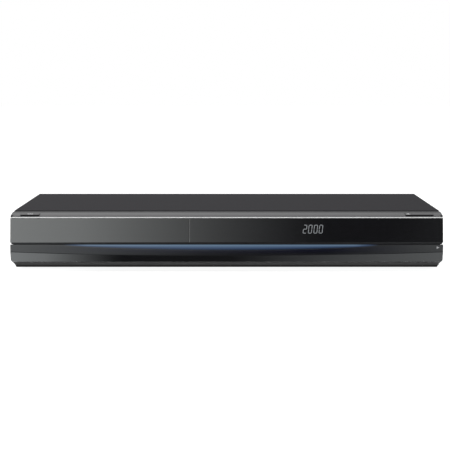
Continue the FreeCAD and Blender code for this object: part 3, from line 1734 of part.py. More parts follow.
nodes = {
    "top_cover": top_cover(),
    "bottom_chassis": bottom_chassis(),
    "rear_panel": rear_panel(),
    "front_frame": front_frame(),
    "silver_trim": silver_trim(),
    "display_window": display_window(),
    "tray_front": tray_front(),
    "flap_door": flap_door(),
    "flap_light_guide": light_guide(),
    "flap_hinge_pins": hinge_pins(),
    "power_button": top_button(power_x, power_wide),
    "open_close_button": top_button(eject_x, eject_wide),
    "switch_brackets": switch_brackets(),
    "front_board": front_board(),
    "display_module": display_module(),
    "remote_sensor": remote_sensor(),
    "front_data_sockets": [usb_socket(), front_socket(camera_x, camera_half, camera_tall),
                           front_socket(card_x, card_half, card_tall)],
    "front_round_sockets": [svideo_socket()] + [round_jack(x) for x in audio_x],
    "stop_key": front_key(key_x[0]),
    "record_key": front_key(key_x[1]),
    "play_key": front_key(key_x[2]),
    "disc_tray": disc_tray(),
    "drive_base": drive_base(),
    "drive_cover": drive_cover(),
    "clamp_bridge": clamp_bridge(),
    "disc_clamper": clamper(),
    "turntable": turntable(),
    "spindle_motor": spindle_motor(),
    "traverse_plate": traverse_plate(),
    "traverse_bushes": traverse_bushes(),
    "optical_pickup": optical_pickup(),
    "pickup_lens": pickup_lens(),
    "guide_rods": guide_rods(),
    "lead_screw": lead_screw(),
    "sled_motor": sled_motor(),
    "loading_gear": loading_gear(),
    "motor_pulley": motor_pulley(),
    "loading_motor": loading_motor(),
    "loading_belt": loading_belt(),
    "drive_board": drive_board(),
    "hard_drive_body": [hard_drive_body(), hard_drive_board()],
    "hard_drive_cover": hard_drive_cover(),
    "hard_drive_bracket": hard_drive_bracket(),
    "power_board": power_board(),
    "power_components": [power_transformer()] + power_capacitors(),
    "main_board": main_board(),
    "main_components": main_chips() + [clock_battery()] + main_capacitors(),
    "heat_sinks": [power_heat_sink(), main_heat_sink()],
    "tuner_can": tuner_can(),
    "aerial_sockets": aerial_sockets(),
    "rear_block_sockets": [socket_riser()] + [block_socket(x) for x in block_x],
    "component_sockets": component_sockets(),
    "rear_digital_sockets": [digital_video_socket(), network_socket(), optical_socket()],
    "mains_inlet": mains_inlet(),
    "fan_frame": fan_frame(),
    "fan_rotor": fan_rotor(),
    "ribbon_cables": [front_ribbon(), tray_ribbon(), disk_ribbon()],
    "cover_screws": cover_screws(),
    "feet": feet(),
    "foot_pads": foot_pads(),
}

for name, shapes in nodes.items():
    save(name, shapes)

print("nodes:", len(nodes))
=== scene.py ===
# %% [markdown]
# # A disc recorder, dressed
# The recorder is a low steel box with a glossy plastic face. Its solids arrive as a fixed
# frame, already in metres, so this lesson never moves them. It gives each one a finish,
# adds the printed and lit marks that are too thin to be solids, and sets up the studio.

# %% Load the frame
import bpy
import math
import numpy as np
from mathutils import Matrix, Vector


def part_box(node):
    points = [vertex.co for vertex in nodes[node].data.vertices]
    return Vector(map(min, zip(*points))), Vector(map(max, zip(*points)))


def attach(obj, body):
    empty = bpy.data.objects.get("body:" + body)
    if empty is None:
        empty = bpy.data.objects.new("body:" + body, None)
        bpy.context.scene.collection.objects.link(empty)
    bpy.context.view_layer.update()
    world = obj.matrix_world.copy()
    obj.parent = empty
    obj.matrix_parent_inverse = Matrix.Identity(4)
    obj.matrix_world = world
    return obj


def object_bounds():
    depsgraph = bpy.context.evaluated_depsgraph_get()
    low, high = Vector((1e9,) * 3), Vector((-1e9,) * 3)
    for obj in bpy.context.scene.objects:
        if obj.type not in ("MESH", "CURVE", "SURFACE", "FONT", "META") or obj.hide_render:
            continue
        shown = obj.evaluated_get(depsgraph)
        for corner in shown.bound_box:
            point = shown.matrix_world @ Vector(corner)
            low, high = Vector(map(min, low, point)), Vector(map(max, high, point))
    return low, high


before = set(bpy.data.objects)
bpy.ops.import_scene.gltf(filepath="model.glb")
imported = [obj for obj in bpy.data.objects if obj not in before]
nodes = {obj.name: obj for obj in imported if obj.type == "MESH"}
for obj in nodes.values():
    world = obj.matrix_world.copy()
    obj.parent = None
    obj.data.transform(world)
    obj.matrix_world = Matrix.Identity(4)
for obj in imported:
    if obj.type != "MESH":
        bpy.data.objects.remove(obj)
cad_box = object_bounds()
MM = 0.001
print("nodes", len(nodes), "box", [list(corner) for corner in cad_box])

# %% [markdown]
# ## A small kit for finishes
# Every finish here starts from the same idea: read the place on the object in metres, make
# a noise from it, and let that noise vary the colour a little, the roughness a little and
# the surface height a very little. Object coordinates stay put when the camera moves.

def new_material(name):
    """An empty node material with its shader, and the socket of Object coordinates."""
    material = bpy.data.materials.new(name)
    material.use_nodes = True
    tree = material.node_tree
    shader = tree.nodes["Principled BSDF"]
    place = tree.nodes.new("ShaderNodeTexCoord").outputs["Object"]
    return material, tree, shader, place


def stretched(tree, place, scale):
    """The place multiplied along X, Y and Z, for a grain that runs one way."""
    mapping = tree.nodes.new("ShaderNodeMapping")
    mapping.inputs["Scale"].default_value = scale
    tree.links.new(place, mapping.inputs["Vector"])
    return mapping.outputs["Vector"]


def noise(tree, place, scale, detail=3.0):
    """A noise value from 0 to 1 at that many waves per metre."""
    node = tree.nodes.new("ShaderNodeTexNoise")
    node.inputs["Scale"].default_value = scale
    node.inputs["Detail"].default_value = detail
    tree.links.new(place, node.inputs["Vector"])
    return node.outputs["Fac"]


def ramp(tree, value, low, high, low_at=0.3, high_at=0.7):
    """A colour between two, as value goes from low_at to high_at."""
    node = tree.nodes.new("ShaderNodeValToRGB")
    node.color_ramp.elements[0].position = low_at
    node.color_ramp.elements[0].color = (*low, 1.0)
    node.color_ramp.elements[1].position = high_at
    node.color_ramp.elements[1].color = (*high, 1.0)
    tree.links.new(value, node.inputs["Fac"])
    return node.outputs["Color"]


def spread(tree, value, low, high):
    """The value from 0..1 spread to low..high."""
    node = tree.nodes.new("ShaderNodeMapRange")
    node.inputs["To Min"].default_value = low
    node.inputs["To Max"].default_value = high
    tree.links.new(value, node.inputs["Value"])
    return node.outputs["Result"]


def bump(tree, shader, value, height, rounding=0.0):
    """Small relief of that height in metres, over edges rounded by a radius in metres."""
    node = tree.nodes.new("ShaderNodeBump")
    node.inputs["Distance"].default_value = height
    tree.links.new(value, node.inputs["Height"])
    if rounding:
        edge = tree.nodes.new("ShaderNodeBevel")
        edge.samples = 16
        edge.inputs["Radius"].default_value = rounding
        tree.links.new(edge.outputs["Normal"], node.inputs["Normal"])
    tree.links.new(node.outputs["Normal"], shader.inputs["Normal"])


def grained(name, colour, roughness, grain, height, metallic=0.0, specular=0.5,
            vary=0.12, stretch=(1.0, 1.0, 1.0), rounding=0.0004):
    """A finish with one grain: its colour, roughness and relief all follow one noise."""
    material, tree, shader, place = new_material(name)
    value = noise(tree, stretched(tree, place, stretch), grain)
    low = tuple(c * (1.0 - vary) for c in colour)
    high = tuple(min(1.0, c * (1.0 + vary)) for c in colour)
    tree.links.new(ramp(tree, value, low, high), shader.inputs["Base Color"])
    tree.links.new(spread(tree, value, roughness * 0.88, roughness * 1.12),
                   shader.inputs["Roughness"])
    shader.inputs["Metallic"].default_value = metallic
    shader.inputs["Specular IOR Level"].default_value = specular
    bump(tree, shader, value, height, rounding)
    return material


def calculate(tree, operation, first, second=None):
    """One arithmetic node on sockets or plain numbers."""
    node = tree.nodes.new("ShaderNodeMath")
    node.operation = operation
    for index, value in enumerate((first, second)):
        if value is None:
            continue
        if isinstance(value, (int, float)):
            node.inputs[index].default_value = value
        else:
            tree.links.new(value, node.inputs[index])
    return node.outputs[0]


def fade(tree, value, start, end, power=1.0, strength=1.0):
    """strength where value is at start, 0 where it is at end, bent by a power between."""
    node = tree.nodes.new("ShaderNodeMapRange")
    node.inputs["From Min"].default_value = start
    node.inputs["From Max"].default_value = end
    node.inputs["To Min"].default_value = 1.0
    node.inputs["To Max"].default_value = 0.0
    tree.links.new(value, node.inputs["Value"])
    bent = calculate(tree, "POWER", node.outputs["Result"], power)
    return calculate(tree, "MULTIPLY", bent, strength)


def blend_values(tree, share, first, second):
    """first where share is 0, second where it is 1."""
    node = tree.nodes.new("ShaderNodeMix")
    node.data_type = "FLOAT"
    for socket, value in zip(node.inputs[:1] + node.inputs[2:4], (share, first, second)):
        if isinstance(value, (int, float)):
            socket.default_value = value
        else:
            tree.links.new(value, socket)
    return node.outputs[0]


def split_xyz(tree, vector):
    """The three parts of a vector."""
    node = tree.nodes.new("ShaderNodeSeparateXYZ")
    tree.links.new(vector, node.inputs["Vector"])
    return node.outputs["X"], node.outputs["Y"], node.outputs["Z"]


print("finish kit ready")

# %% [markdown]
# ## The finishes
# The cover is dark satin paint, the panels are piano-black plastic, the trim is drawn
# metal. Zinc sheet shows spangles, which are cells, so it takes a Voronoi texture.

# %% Paint, plastics, rubber and plain metals
paint = grained("cover_paint", (0.0270, 0.0262, 0.0288), 0.50, 2600, 0.00002, specular=0.012,
                rounding=0.0)
black_moulded = grained("black_moulded", (0.022, 0.022, 0.024), 0.45, 1500, 0.00003)
grey_moulded = grained("grey_moulded", (0.30, 0.30, 0.31), 0.42, 1500, 0.00002)
white_moulded = grained("white_moulded", (0.72, 0.71, 0.67), 0.38, 900, 0.00002, vary=0.05)
rubber = grained("rubber", (0.025, 0.025, 0.025), 0.75, 1100, 0.00006)
cast_metal = grained("cast_metal", (0.62, 0.62, 0.63), 0.42, 900, 0.00005, metallic=1.0)
ground_steel = grained("ground_steel", (0.70, 0.70, 0.70), 0.20, 500, 0.000004,
                       metallic=1.0, stretch=(1.0, 14.0, 14.0), vary=0.06)
shell_nickel = grained("shell_nickel", (0.34, 0.34, 0.33), 0.40, 900, 0.000004, metallic=0.8,
                       vary=0.06)
screw_steel = grained("screw_steel", (0.10, 0.10, 0.11), 0.35, 1400, 0.00002, metallic=1.0)
drawn_silver = grained("drawn_silver", (0.85, 0.85, 0.85), 0.55, 700, 0.000004,
                       metallic=0.05, stretch=(0.5, 12.0, 12.0), vary=0.02)
print("plain finishes made")


# %% Front frame: satin on the slope, duller on the base strip
def frame_finish():
    """Satin black. Height Z picks the part: the base strip gets a duller finish, with a painted
    highlight at its top edge that turns to painted shade downward, and the rest keeps the
    smoother one, with a painted highlight of stronger reflection towards the slope's upper edge."""
    material, tree, shader, place = new_material("frame_satin")
    value = noise(tree, place, 1800)
    _, _, z = split_xyz(tree, place)
    strip = fade(tree, z, 0.0105, 0.0112)
    # Painted light: the base strip's colour is pale at its top edge, a painted highlight, and
    # near black towards the bottom, painted shade.
    strip_painted_light = ramp(tree, fade(tree, z, 0.0102, 0.0056, 2.8), (0.022,) * 3, (0.47, 0.47, 0.48), 0, 1)
    upper = ramp(tree, value, (0.034, 0.034, 0.037), (0.042, 0.042, 0.045))
    mix = tree.nodes.new("ShaderNodeMix")
    mix.data_type = "RGBA"
    tree.links.new(strip, mix.inputs["Factor"])
    tree.links.new(upper, mix.inputs[6])
    tree.links.new(strip_painted_light, mix.inputs[7])
    tree.links.new(mix.outputs[2], shader.inputs["Base Color"])
    rough = calculate(tree, "ADD", spread(tree, value, 0.22, 0.26), spread(tree, strip, 0, 0.4))
    tree.links.new(rough, shader.inputs["Roughness"])
    # Painted highlight: the reflection is stronger towards the slope's upper edge, and drops away
    # down the slope.
    slope_painted_highlight = calculate(tree, "ADD", fade(tree, z, 0.0580, 0.0562, 1.0, 0.28), 0.12)
    dulled = calculate(tree, "MULTIPLY", slope_painted_highlight, spread(tree, strip, 1.0, 0.15))
    tree.links.new(dulled, shader.inputs["Specular IOR Level"])
    bump(tree, shader, value, 0.00001, 0.0002)
    return material


def button_finish():
    """The frame's satin on top. The upright front wall, which Y picks out, is painted shade: near
    black, with little reflection.
    """
    material, tree, shader, place = new_material("button_satin")
    value = noise(tree, place, 1800)
    _, y, _ = split_xyz(tree, place)
    low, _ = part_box("power_button")
    shaded_wall = fade(tree, y, low[1] + 0.0002, low[1] + 0.0004)
    mix = tree.nodes.new("ShaderNodeMix")
    mix.data_type = "RGBA"
    tree.links.new(shaded_wall, mix.inputs["Factor"])
    tree.links.new(ramp(tree, value, (0.034, 0.034, 0.037), (0.042, 0.042, 0.045)), mix.inputs[6])
    # Painted shade: the front wall is near black and reflects little, standing in for the shadow
    # on it.
    tree.links.new(ramp(tree, value, (0.003,) * 3, (0.005,) * 3), mix.inputs[7])
    tree.links.new(mix.outputs[2], shader.inputs["Base Color"])
    tree.links.new(spread(tree, shaded_wall, 0.24, 0.60), shader.inputs["Roughness"])
    tree.links.new(spread(tree, shaded_wall, 0.45, 0.05), shader.inputs["Specular IOR Level"])
    bump(tree, shader, value, 0.00001)
    return material


frame_satin = frame_finish()
button_satin = button_finish()
print("frame and button finishes made")


# %% Piano gloss
def piano_gloss(name, colour):
    """Black gloss with a very faint orange peel and fine dust-soft roughness."""
    material, tree, shader, place = new_material(name)
    peel = noise(tree, place, 160, 1.0)
    haze = noise(tree, place, 18, 4.0)
    low = tuple(c * 0.85 for c in colour)
    high = tuple(c * 1.15 for c in colour)
    tree.links.new(ramp(tree, haze, low, high), shader.inputs["Base Color"])
    tree.links.new(spread(tree, haze, 0.05, 0.09), shader.inputs["Roughness"])
    bump(tree, shader, peel, 0.0000005, 0.0004)
    return material


CREASE_MIDDLE = 0.01665
CREASE_END = 0.02055
ARROW_BASE, ARROW_TIP = 0.2086, 0.2114
ARROW_Z, ARROW_HALF = 0.0251, 0.0013


def arrow_mask(tree, x, y, z):
    """1 inside the printed pull arrow, 0 elsewhere. The share of the way to the tip and the
    share of the way out from the middle line add up to less than 1 inside a triangle."""
    along = fade(tree, x, ARROW_TIP, ARROW_BASE)
    out = calculate(tree, "DIVIDE", calculate(tree, "ABSOLUTE",
                    calculate(tree, "SUBTRACT", z, ARROW_Z)), ARROW_HALF)
    inside = calculate(tree, "LESS_THAN", calculate(tree, "ADD", along, out), 1.0)
    right = calculate(tree, "GREATER_THAN", x, ARROW_BASE)
    front = calculate(tree, "LESS_THAN", y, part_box("flap_door")[0][1] + 0.0002)
    return calculate(tree, "MULTIPLY", calculate(tree, "MULTIPLY", inside, right), front)


def crease_mask(tree, across, z):
    """1 along the curved crease between the flap's band and its chin, near both ends. The
    crease is a parabola: its height is the middle's plus the rise times the square of X over
    the flap's half width."""
    line = calculate(tree, "ADD", CREASE_MIDDLE + 0.0002, calculate(tree, "MULTIPLY",
                     calculate(tree, "POWER", across, 2.0), CREASE_END - CREASE_MIDDLE))
    away = calculate(tree, "ABSOLUTE", calculate(tree, "SUBTRACT", z, line))
    return calculate(tree, "MULTIPLY", fade(tree, away, 0.00022, 0.00045),
                     fade(tree, across, 0.76, 0.52))


def lit_gloss():
    """The flap's gloss, with a painted blue glow where light spills down from the lit edge above
    it, a painted dark line along the crease where the reflection is turned down, and a printed
    arrow given a painted glow where the flap is pulled."""
    material = piano_gloss("flap_gloss", (0.0060, 0.0060, 0.0072))
    tree = material.node_tree
    shader = tree.nodes["Principled BSDF"]
    x, y, z = split_xyz(tree, tree.nodes["Texture Coordinate"].outputs["Object"])
    from_middle = calculate(tree, "ABSOLUTE", x)
    low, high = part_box("flap_light_guide")
    painted_blue_spill = calculate(tree, "MULTIPLY", fade(tree, z, low[2] + 0.001, low[2] - 0.005, 1.5),
                      fade(tree, from_middle, high[0] * 0.3, high[0] * 1.1))
    painted_blue_glow = ramp(tree, painted_blue_spill, (0.0, 0.0, 0.0), (0.0006, 0.0012, 0.0105), 0.0, 1.0)
    # Painted light: the flap glows blue below the lit edge, and the printed arrow glows in its
    # own grey.
    mix = tree.nodes.new("ShaderNodeMix")
    mix.data_type = "RGBA"
    tree.links.new(arrow_mask(tree, x, y, z), mix.inputs["Factor"])
    tree.links.new(painted_blue_glow, mix.inputs[6])
    mix.inputs[7].default_value = (0.30, 0.30, 0.31, 1.0)
    tree.links.new(mix.outputs[2], shader.inputs["Emission Color"])
    shader.inputs["Emission Strength"].default_value = 1.0
    across = calculate(tree, "DIVIDE", from_middle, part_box("flap_door")[1][0])
    # Painted shade: the reflection is turned down along the crease near both ends, giving a dark
    # line.
    tree.links.new(spread(tree, crease_mask(tree, across, z), 0.5, 0.12),
                   shader.inputs["Specular IOR Level"])
    return material


panel_gloss = piano_gloss("panel_gloss", (0.0060, 0.0060, 0.0072))
flap_gloss = lit_gloss()
print("gloss made")


# %% Zinc sheet and circuit board
def zinc_sheet():
    """Zinc-plated sheet: cells of slightly different grey and roughness."""
    material, tree, shader, place = new_material("zinc_sheet")
    cells = tree.nodes.new("ShaderNodeTexVoronoi")
    cells.inputs["Scale"].default_value = 160
    tree.links.new(place, cells.inputs["Vector"])
    value = noise(tree, cells.outputs["Color"], 3.0)
    tree.links.new(ramp(tree, value, (0.44, 0.45, 0.46), (0.60, 0.61, 0.62)),
                   shader.inputs["Base Color"])
    tree.links.new(spread(tree, value, 0.32, 0.50), shader.inputs["Roughness"])
    shader.inputs["Metallic"].default_value = 1.0
    bump(tree, shader, noise(tree, place, 900), 0.00001, 0.0003)
    return material


def circuit_board():
    """Solder resist over copper tracks: a brick pattern, whose mortar lines run in two directions
    and whose bricks stand for pads.
    """
    material, tree, shader, place = new_material("circuit_board")
    tracks = tree.nodes.new("ShaderNodeTexBrick")
    tracks.inputs["Scale"].default_value = 120
    tracks.inputs["Color1"].default_value = (0.010, 0.110, 0.045, 1.0)
    tracks.inputs["Color2"].default_value = (0.014, 0.150, 0.062, 1.0)
    tracks.inputs["Mortar"].default_value = (0.045, 0.240, 0.090, 1.0)
    tracks.inputs["Mortar Size"].default_value = 0.03
    tree.links.new(place, tracks.inputs["Vector"])
    tree.links.new(tracks.outputs["Color"], shader.inputs["Base Color"])
    shader.inputs["Roughness"].default_value = 0.35
    bump(tree, shader, tracks.outputs["Fac"], 0.00004)
    return material


zinc = zinc_sheet()
board_green = circuit_board()
print("sheet and boards made")


# %% [markdown]
# ## The lit edge
# The clear strip in the flap's top edge glows blue from a row of lamps behind it. The
# glow is strongest at the top edge and dies away downward and towards both ends, so the
# strength is the product of two ramps, one along Z and one along X.

# %% Blue light guide
def blue_edge():
    """Blue glow. How far down a point lies in the crescent, as a share of the crescent's own
    depth at that X, gives the fade; the distance from the lamp row's middle, a little left
    of the strip's own, gives the ends."""
    material, tree, shader, place = new_material("blue_edge")
    low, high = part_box("flap_light_guide")
    half = high[0]
    drop = high[2] - low[2]
    x, _, z = split_xyz(tree, place)
    across = calculate(tree, "DIVIDE", x, half)
    bow = calculate(tree, "SUBTRACT", 1.0, calculate(tree, "POWER",
                    calculate(tree, "ABSOLUTE", across), 2.0))
    depth_here = calculate(tree, "ADD", calculate(tree, "MULTIPLY", bow, drop), 0.00005)
    down = calculate(tree, "DIVIDE", calculate(tree, "SUBTRACT", high[2], z), depth_here)
    from_lamps = calculate(tree, "ABSOLUTE", calculate(tree, "ADD", x, 0.006))
    glow = calculate(tree, "MULTIPLY", fade(tree, down, 0.0, 1.0, 1.2),
                     fade(tree, from_lamps, half * 0.75, half * 0.88))
    tree.links.new(ramp(tree, glow, (0.006, 0.006, 0.007), (0.02, 0.04, 0.07), 0.0, 1.0),
                   shader.inputs["Base Color"])
    tint_ramp = tree.nodes.new("ShaderNodeValToRGB")
    for place_on, colour in ((0.0, (0.0, 0.0, 0.0)), (0.35, (0.027, 0.047, 0.098)),
                             (1.0, (0.112, 0.167, 0.230))):
        stop = (tint_ramp.color_ramp.elements.new(place_on) if 0.0 < place_on < 1.0
                else tint_ramp.color_ramp.elements[int(place_on) * -1])
        stop.color = (*colour, 1.0)
    tree.links.new(glow, tint_ramp.inputs["Fac"])
    tint = tint_ramp.outputs["Color"]
    tree.links.new(tint, shader.inputs["Emission Color"])
    shader.inputs["Emission Strength"].default_value = 1.0
    shader.inputs["Roughness"].default_value = 0.08
    return material


blue_glow = blue_edge()


# %% [markdown]
# ## Who wears what
# One table pairs each solid with its finish, in the words of the bench.

# %% Give each solid its finish
wardrobe = {
    paint: ["top_cover"],
    frame_satin: ["front_frame"],
    button_satin: ["power_button", "open_close_button"],
    panel_gloss: ["display_window", "tray_front"],
    flap_gloss: ["flap_door"],
    blue_glow: ["flap_light_guide"],
    drawn_silver: ["silver_trim"],
    zinc: ["bottom_chassis", "rear_panel", "drive_cover", "clamp_bridge", "spindle_motor",
           "traverse_plate", "sled_motor", "loading_motor", "hard_drive_cover",
           "hard_drive_bracket", "tuner_can"],
    board_green: ["front_board", "drive_board", "power_board", "main_board"],
    black_moulded: ["disc_tray", "drive_base", "remote_sensor",
                    "rear_block_sockets", "rear_digital_sockets",
                    "mains_inlet", "fan_frame", "fan_rotor", "feet", "display_module"],
    grey_moulded: ["stop_key", "record_key", "play_key", "switch_brackets", "turntable"],
    white_moulded: ["disc_clamper", "loading_gear", "motor_pulley"],
    rubber: ["traverse_bushes", "loading_belt", "foot_pads"],
    cast_metal: ["optical_pickup", "hard_drive_body", "heat_sinks"],
    ground_steel: ["flap_hinge_pins", "guide_rods", "lead_screw", "aerial_sockets"],
    shell_nickel: ["front_data_sockets"],
    screw_steel: ["cover_screws"],
}


def lens_glass():
    """Coated lens: bluish, clear and smooth, with a faint film of colour."""
    material, tree, shader, place = new_material("lens_glass")
    film = noise(tree, place, 300, 1.0)
    tree.links.new(ramp(tree, film, (0.35, 0.55, 0.80), (0.55, 0.45, 0.85)),
                   shader.inputs["Base Color"])
    shader.inputs["Roughness"].default_value = 0.04
    shader.inputs["Transmission Weight"].default_value = 0.6
    return material


def banded_sockets(name, edges, out_from, out_to):
    """Black moulded bodies whose round mouths are coloured in bands along X. edges pairs each
    band's first X with its colour; the colour shows where Y runs from out_from to out_to."""
    material, tree, shader, place = new_material(name)
    x, y, _ = split_xyz(tree, place)
    low = min(edge for edge, _ in edges)
    high = max(edge for edge, _ in edges) + 0.02
    bands = tree.nodes.new("ShaderNodeValToRGB")
    bands.color_ramp.interpolation = "CONSTANT"
    stops = bands.color_ramp.elements
    while len(stops) < len(edges):
        stops.new(0.5)
    for stop, (edge, colour) in zip(stops, sorted(edges)):
        stop.position = (edge - low) / (high - low)
        stop.color = (*colour, 1.0)
    tree.links.new(fade(tree, x, high, low), bands.inputs["Fac"])
    mix = tree.nodes.new("ShaderNodeMix")
    mix.data_type = "RGBA"
    tree.links.new(fade(tree, y, out_to, out_from), mix.inputs["Factor"])
    grain = ramp(tree, noise(tree, place, 1500), (0.019,) * 3, (0.025,) * 3)
    tree.links.new(grain, mix.inputs[6])
    tree.links.new(bands.outputs["Color"], mix.inputs[7])
    tree.links.new(mix.outputs[2], shader.inputs["Base Color"])
    shader.inputs["Roughness"].default_value = 0.4
    bump(tree, shader, noise(tree, place, 1500), 0.00002, 0.0003)
    return material


def inside_box(tree, place, low, high):
    """1 inside the box between two corners given in mm, 0 outside. A point is inside when on
    each axis it lies less than half a side from the box's middle."""
    mask = 1.0
    for value, start, end in zip(split_xyz(tree, place), low, high):
        away = calculate(tree, "ABSOLUTE",
                         calculate(tree, "SUBTRACT", value, (start + end) / 2 * MM))
        mask = calculate(tree, "MULTIPLY", mask,
                         calculate(tree, "LESS_THAN", away, (end - start) / 2 * MM))
    return mask


def layered(name, base, layers):
    """A finish that changes by place. base and each layer's last item are a colour, a
    roughness and a metal share; later layers cover earlier ones inside their own box."""
    material, tree, shader, place = new_material(name)
    grain = noise(tree, place, 1200)
    colour = ramp(tree, grain, tuple(c * 0.88 for c in base[0]), base[0])
    rough, metal = base[1], base[2]
    for low, high, (tint, roughness, metallic) in layers:
        mask = inside_box(tree, place, low, high)
        mix = tree.nodes.new("ShaderNodeMix")
        mix.data_type = "RGBA"
        tree.links.new(mask, mix.inputs["Factor"])
        tree.links.new(colour, mix.inputs[6])
        tree.links.new(ramp(tree, grain, tuple(c * 0.88 for c in tint), tint), mix.inputs[7])
        colour = mix.outputs[2]
        rough = blend_values(tree, mask, rough, roughness)
        metal = blend_values(tree, mask, metal, metallic)
    tree.links.new(colour, shader.inputs["Base Color"])
    tree.links.new(rough, shader.inputs["Roughness"])
    tree.links.new(metal, shader.inputs["Metallic"])
    bump(tree, shader, grain, 0.00001, 0.0002)
    return material


def cable_stripes():
    """Flat cable: white skin over grey wires, one wire in every pitch across the cable. The
    front cable runs along Y, so it counts along X; the others run along X and count along Y."""
    material, tree, shader, place = new_material("flat_cable")
    x, y, _ = split_xyz(tree, place)
    count = blend_values(tree, calculate(tree, "LESS_THAN", y, -0.090), y, x)
    wave = calculate(tree, "SINE", calculate(tree, "MULTIPLY", count, 2 * math.pi / 0.0025))
    tree.links.new(ramp(tree, spread(tree, calculate(tree, "ABSOLUTE", wave), 0.0, 1.0),
                        (0.34, 0.34, 0.34), (0.74, 0.73, 0.70), 0.15, 0.40),
                   shader.inputs["Base Color"])
    shader.inputs["Roughness"].default_value = 0.42
    bump(tree, shader, noise(tree, place, 900), 0.00001, 0.0002)
    return material


SLEEVE = ((0.012, 0.018, 0.055), 0.35, 0.0)
ALUMINIUM = ((0.72, 0.72, 0.73), 0.34, 1.0)
FERRITE = ((0.030, 0.030, 0.032), 0.60, 0.0)
TAPE = ((0.62, 0.46, 0.07), 0.35, 0.0)
CHIP = ((0.018, 0.018, 0.019), 0.48, 0.0)
wardrobe[layered("power_parts", SLEEVE, [
    ((-171, 70, 42.9), (-149, 105, 43.5), ALUMINIUM),
    ((-92, 70, 32.9), (-80, 110, 33.5), ALUMINIUM),
    ((-77, 70, 27.9), (-67, 95, 28.5), ALUMINIUM),
    ((-135, 70, 13), (-99, 120, 40), FERRITE),
    ((-135, 70, 18), (-99, 120, 34), TAPE)])] = ["power_components"]
wardrobe[layered("main_parts", CHIP, [
    ((179, -90, 13), (201, -65, 19), ALUMINIUM),
    ((85, -60, 13), (155, -51, 24), SLEEVE),
    ((85, -60, 22.9), (155, -51, 23.5), ALUMINIUM)])] = ["main_components"]
wardrobe[cable_stripes()] = ["ribbon_cables"]

GREEN, BLUE, RED = (0.02, 0.25, 0.06), (0.02, 0.06, 0.40), (0.45, 0.02, 0.02)
YELLOW, WHITE, BLACK = (0.65, 0.45, 0.03), (0.65, 0.65, 0.62), (0.02, 0.02, 0.02)
rear_video = banded_sockets("rear_video_sockets", [(0.070, GREEN), (0.082, BLUE), (0.094, RED)],
                            0.1425, 0.1440)
front_round = banded_sockets("front_round_sockets", [(0.140, BLACK), (0.158, YELLOW),
                             (0.170, WHITE), (0.182, RED)], -0.1345, -0.1355)
wardrobe[rear_video] = ["component_sockets"]
wardrobe[front_round] = ["front_round_sockets"]
wardrobe[lens_glass()] = ["pickup_lens"]
dressed = set()
for material, names in wardrobe.items():
    for name in names:
        nodes[name].data.materials.clear()
        nodes[name].data.materials.append(material)
        dressed.add(name)
print("bare solids:", sorted(set(nodes) - dressed))

# %% [markdown]
# ## Thin marks
# Digits, the power sign and the eject sign are far thinner than a sheet of paper, so they
# are flat meshes laid just proud of the surface. Each is worked out as an array of
# corners in the plane of its panel, then carried onto that plane.

# %% Helper: a flat shape carried onto a plane
def flat_marks(name, shapes, carry, material, body):
    """One mesh of flat polygons. shapes are arrays of (u, v); carry maps them to (x, y, z)."""
    points = []
    faces = []
    for shape in shapes:
        start = len(points)
        points += carry(np.asarray(shape, dtype=float)).tolist()
        faces.append(list(range(start, start + len(shape))))
    mesh = bpy.data.meshes.new(name)
    mesh.from_pydata(points, [], faces)
    mesh.materials.append(material)
    piece = bpy.data.objects.new(name, mesh)
    bpy.context.scene.collection.objects.link(piece)
    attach(piece, body)
    return piece


def glowing(name, colour, strength):
    """A lit mark, or a printed mark with a painted glow: its own light, a little uneven like a
    real lamp window.
    """
    material, tree, shader, place = new_material(name)
    value = noise(tree, place, 700, 2.0)
    low = tuple(c * 0.85 for c in colour)
    tree.links.new(ramp(tree, value, low, colour), shader.inputs["Base Color"])
    tree.links.new(ramp(tree, value, low, colour), shader.inputs["Emission Color"])
    shader.inputs["Emission Strength"].default_value = strength
    shader.inputs["Roughness"].default_value = 0.5
    return material


print("mark helper ready")


# %% Clock digits on the window
def bar(start, end, half):
    """A display segment: a bar with pointed ends between two points, as six corners."""
    start = np.array(start)
    end = np.array(end)
    along = (end - start) / np.linalg.norm(end - start)
    side = np.array([-along[1], along[0]])
    return np.array([start, start + half * (along + side), end - half * (along - side), end,
                     end - half * (along + side), start + half * (along - side)])


def digit(which, left, width, height, half):
    """The lit bars of one figure, from the seven places of a clock display."""
    right = left + width
    middle = height / 2
    places = {
        "a": ((left, height), (right, height)), "b": ((right, middle), (right, height)),
        "c": ((right, 0), (right, middle)), "d": ((left, 0), (right, 0)),
        "e": ((left, 0), (left, middle)), "f": ((left, middle), (left, height)),
        "g": ((left, middle), (right, middle)),
    }
    lit = {"2": "abged", "0": "abcdef"}[which]
    gap = 0.12
    bars = []
    for key in lit:
        start, end = (np.array(p, dtype=float) for p in places[key])
        step = gap * (end - start) / np.linalg.norm(end - start)
        bars.append(bar(start + step, end - step, half))
    return bars


window_low, window_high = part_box("display_window")
PANEL_RUN = 3.0
PANEL_RISE = 24.04
LIFT = 0.03


def on_window(points):
    """From (u, v) in mm on the leaning panel to metres, leaned over like italic figures."""
    slant = 0.12
    u = points[:, 0] + slant * points[:, 1]
    z = points[:, 1] + 39.4
    d = PANEL_RUN * (z - window_low[2] / MM) / PANEL_RISE - LIFT
    return np.stack([u * MM, window_low[1] + d * MM, z * MM], axis=1)


digit_shapes = []
for which, left in (("2", 75.8), ("0", 81.0), ("0", 86.4), ("0", 91.6)):
    digit_shapes += digit(which, left, 3.1, 7.9, 0.29)
lit_grey = glowing("lit_grey", (0.19, 0.20, 0.21), 0.62)
flat_marks("clock_digits", digit_shapes, on_window, lit_grey, "case")
print("digit bars", len(digit_shapes))
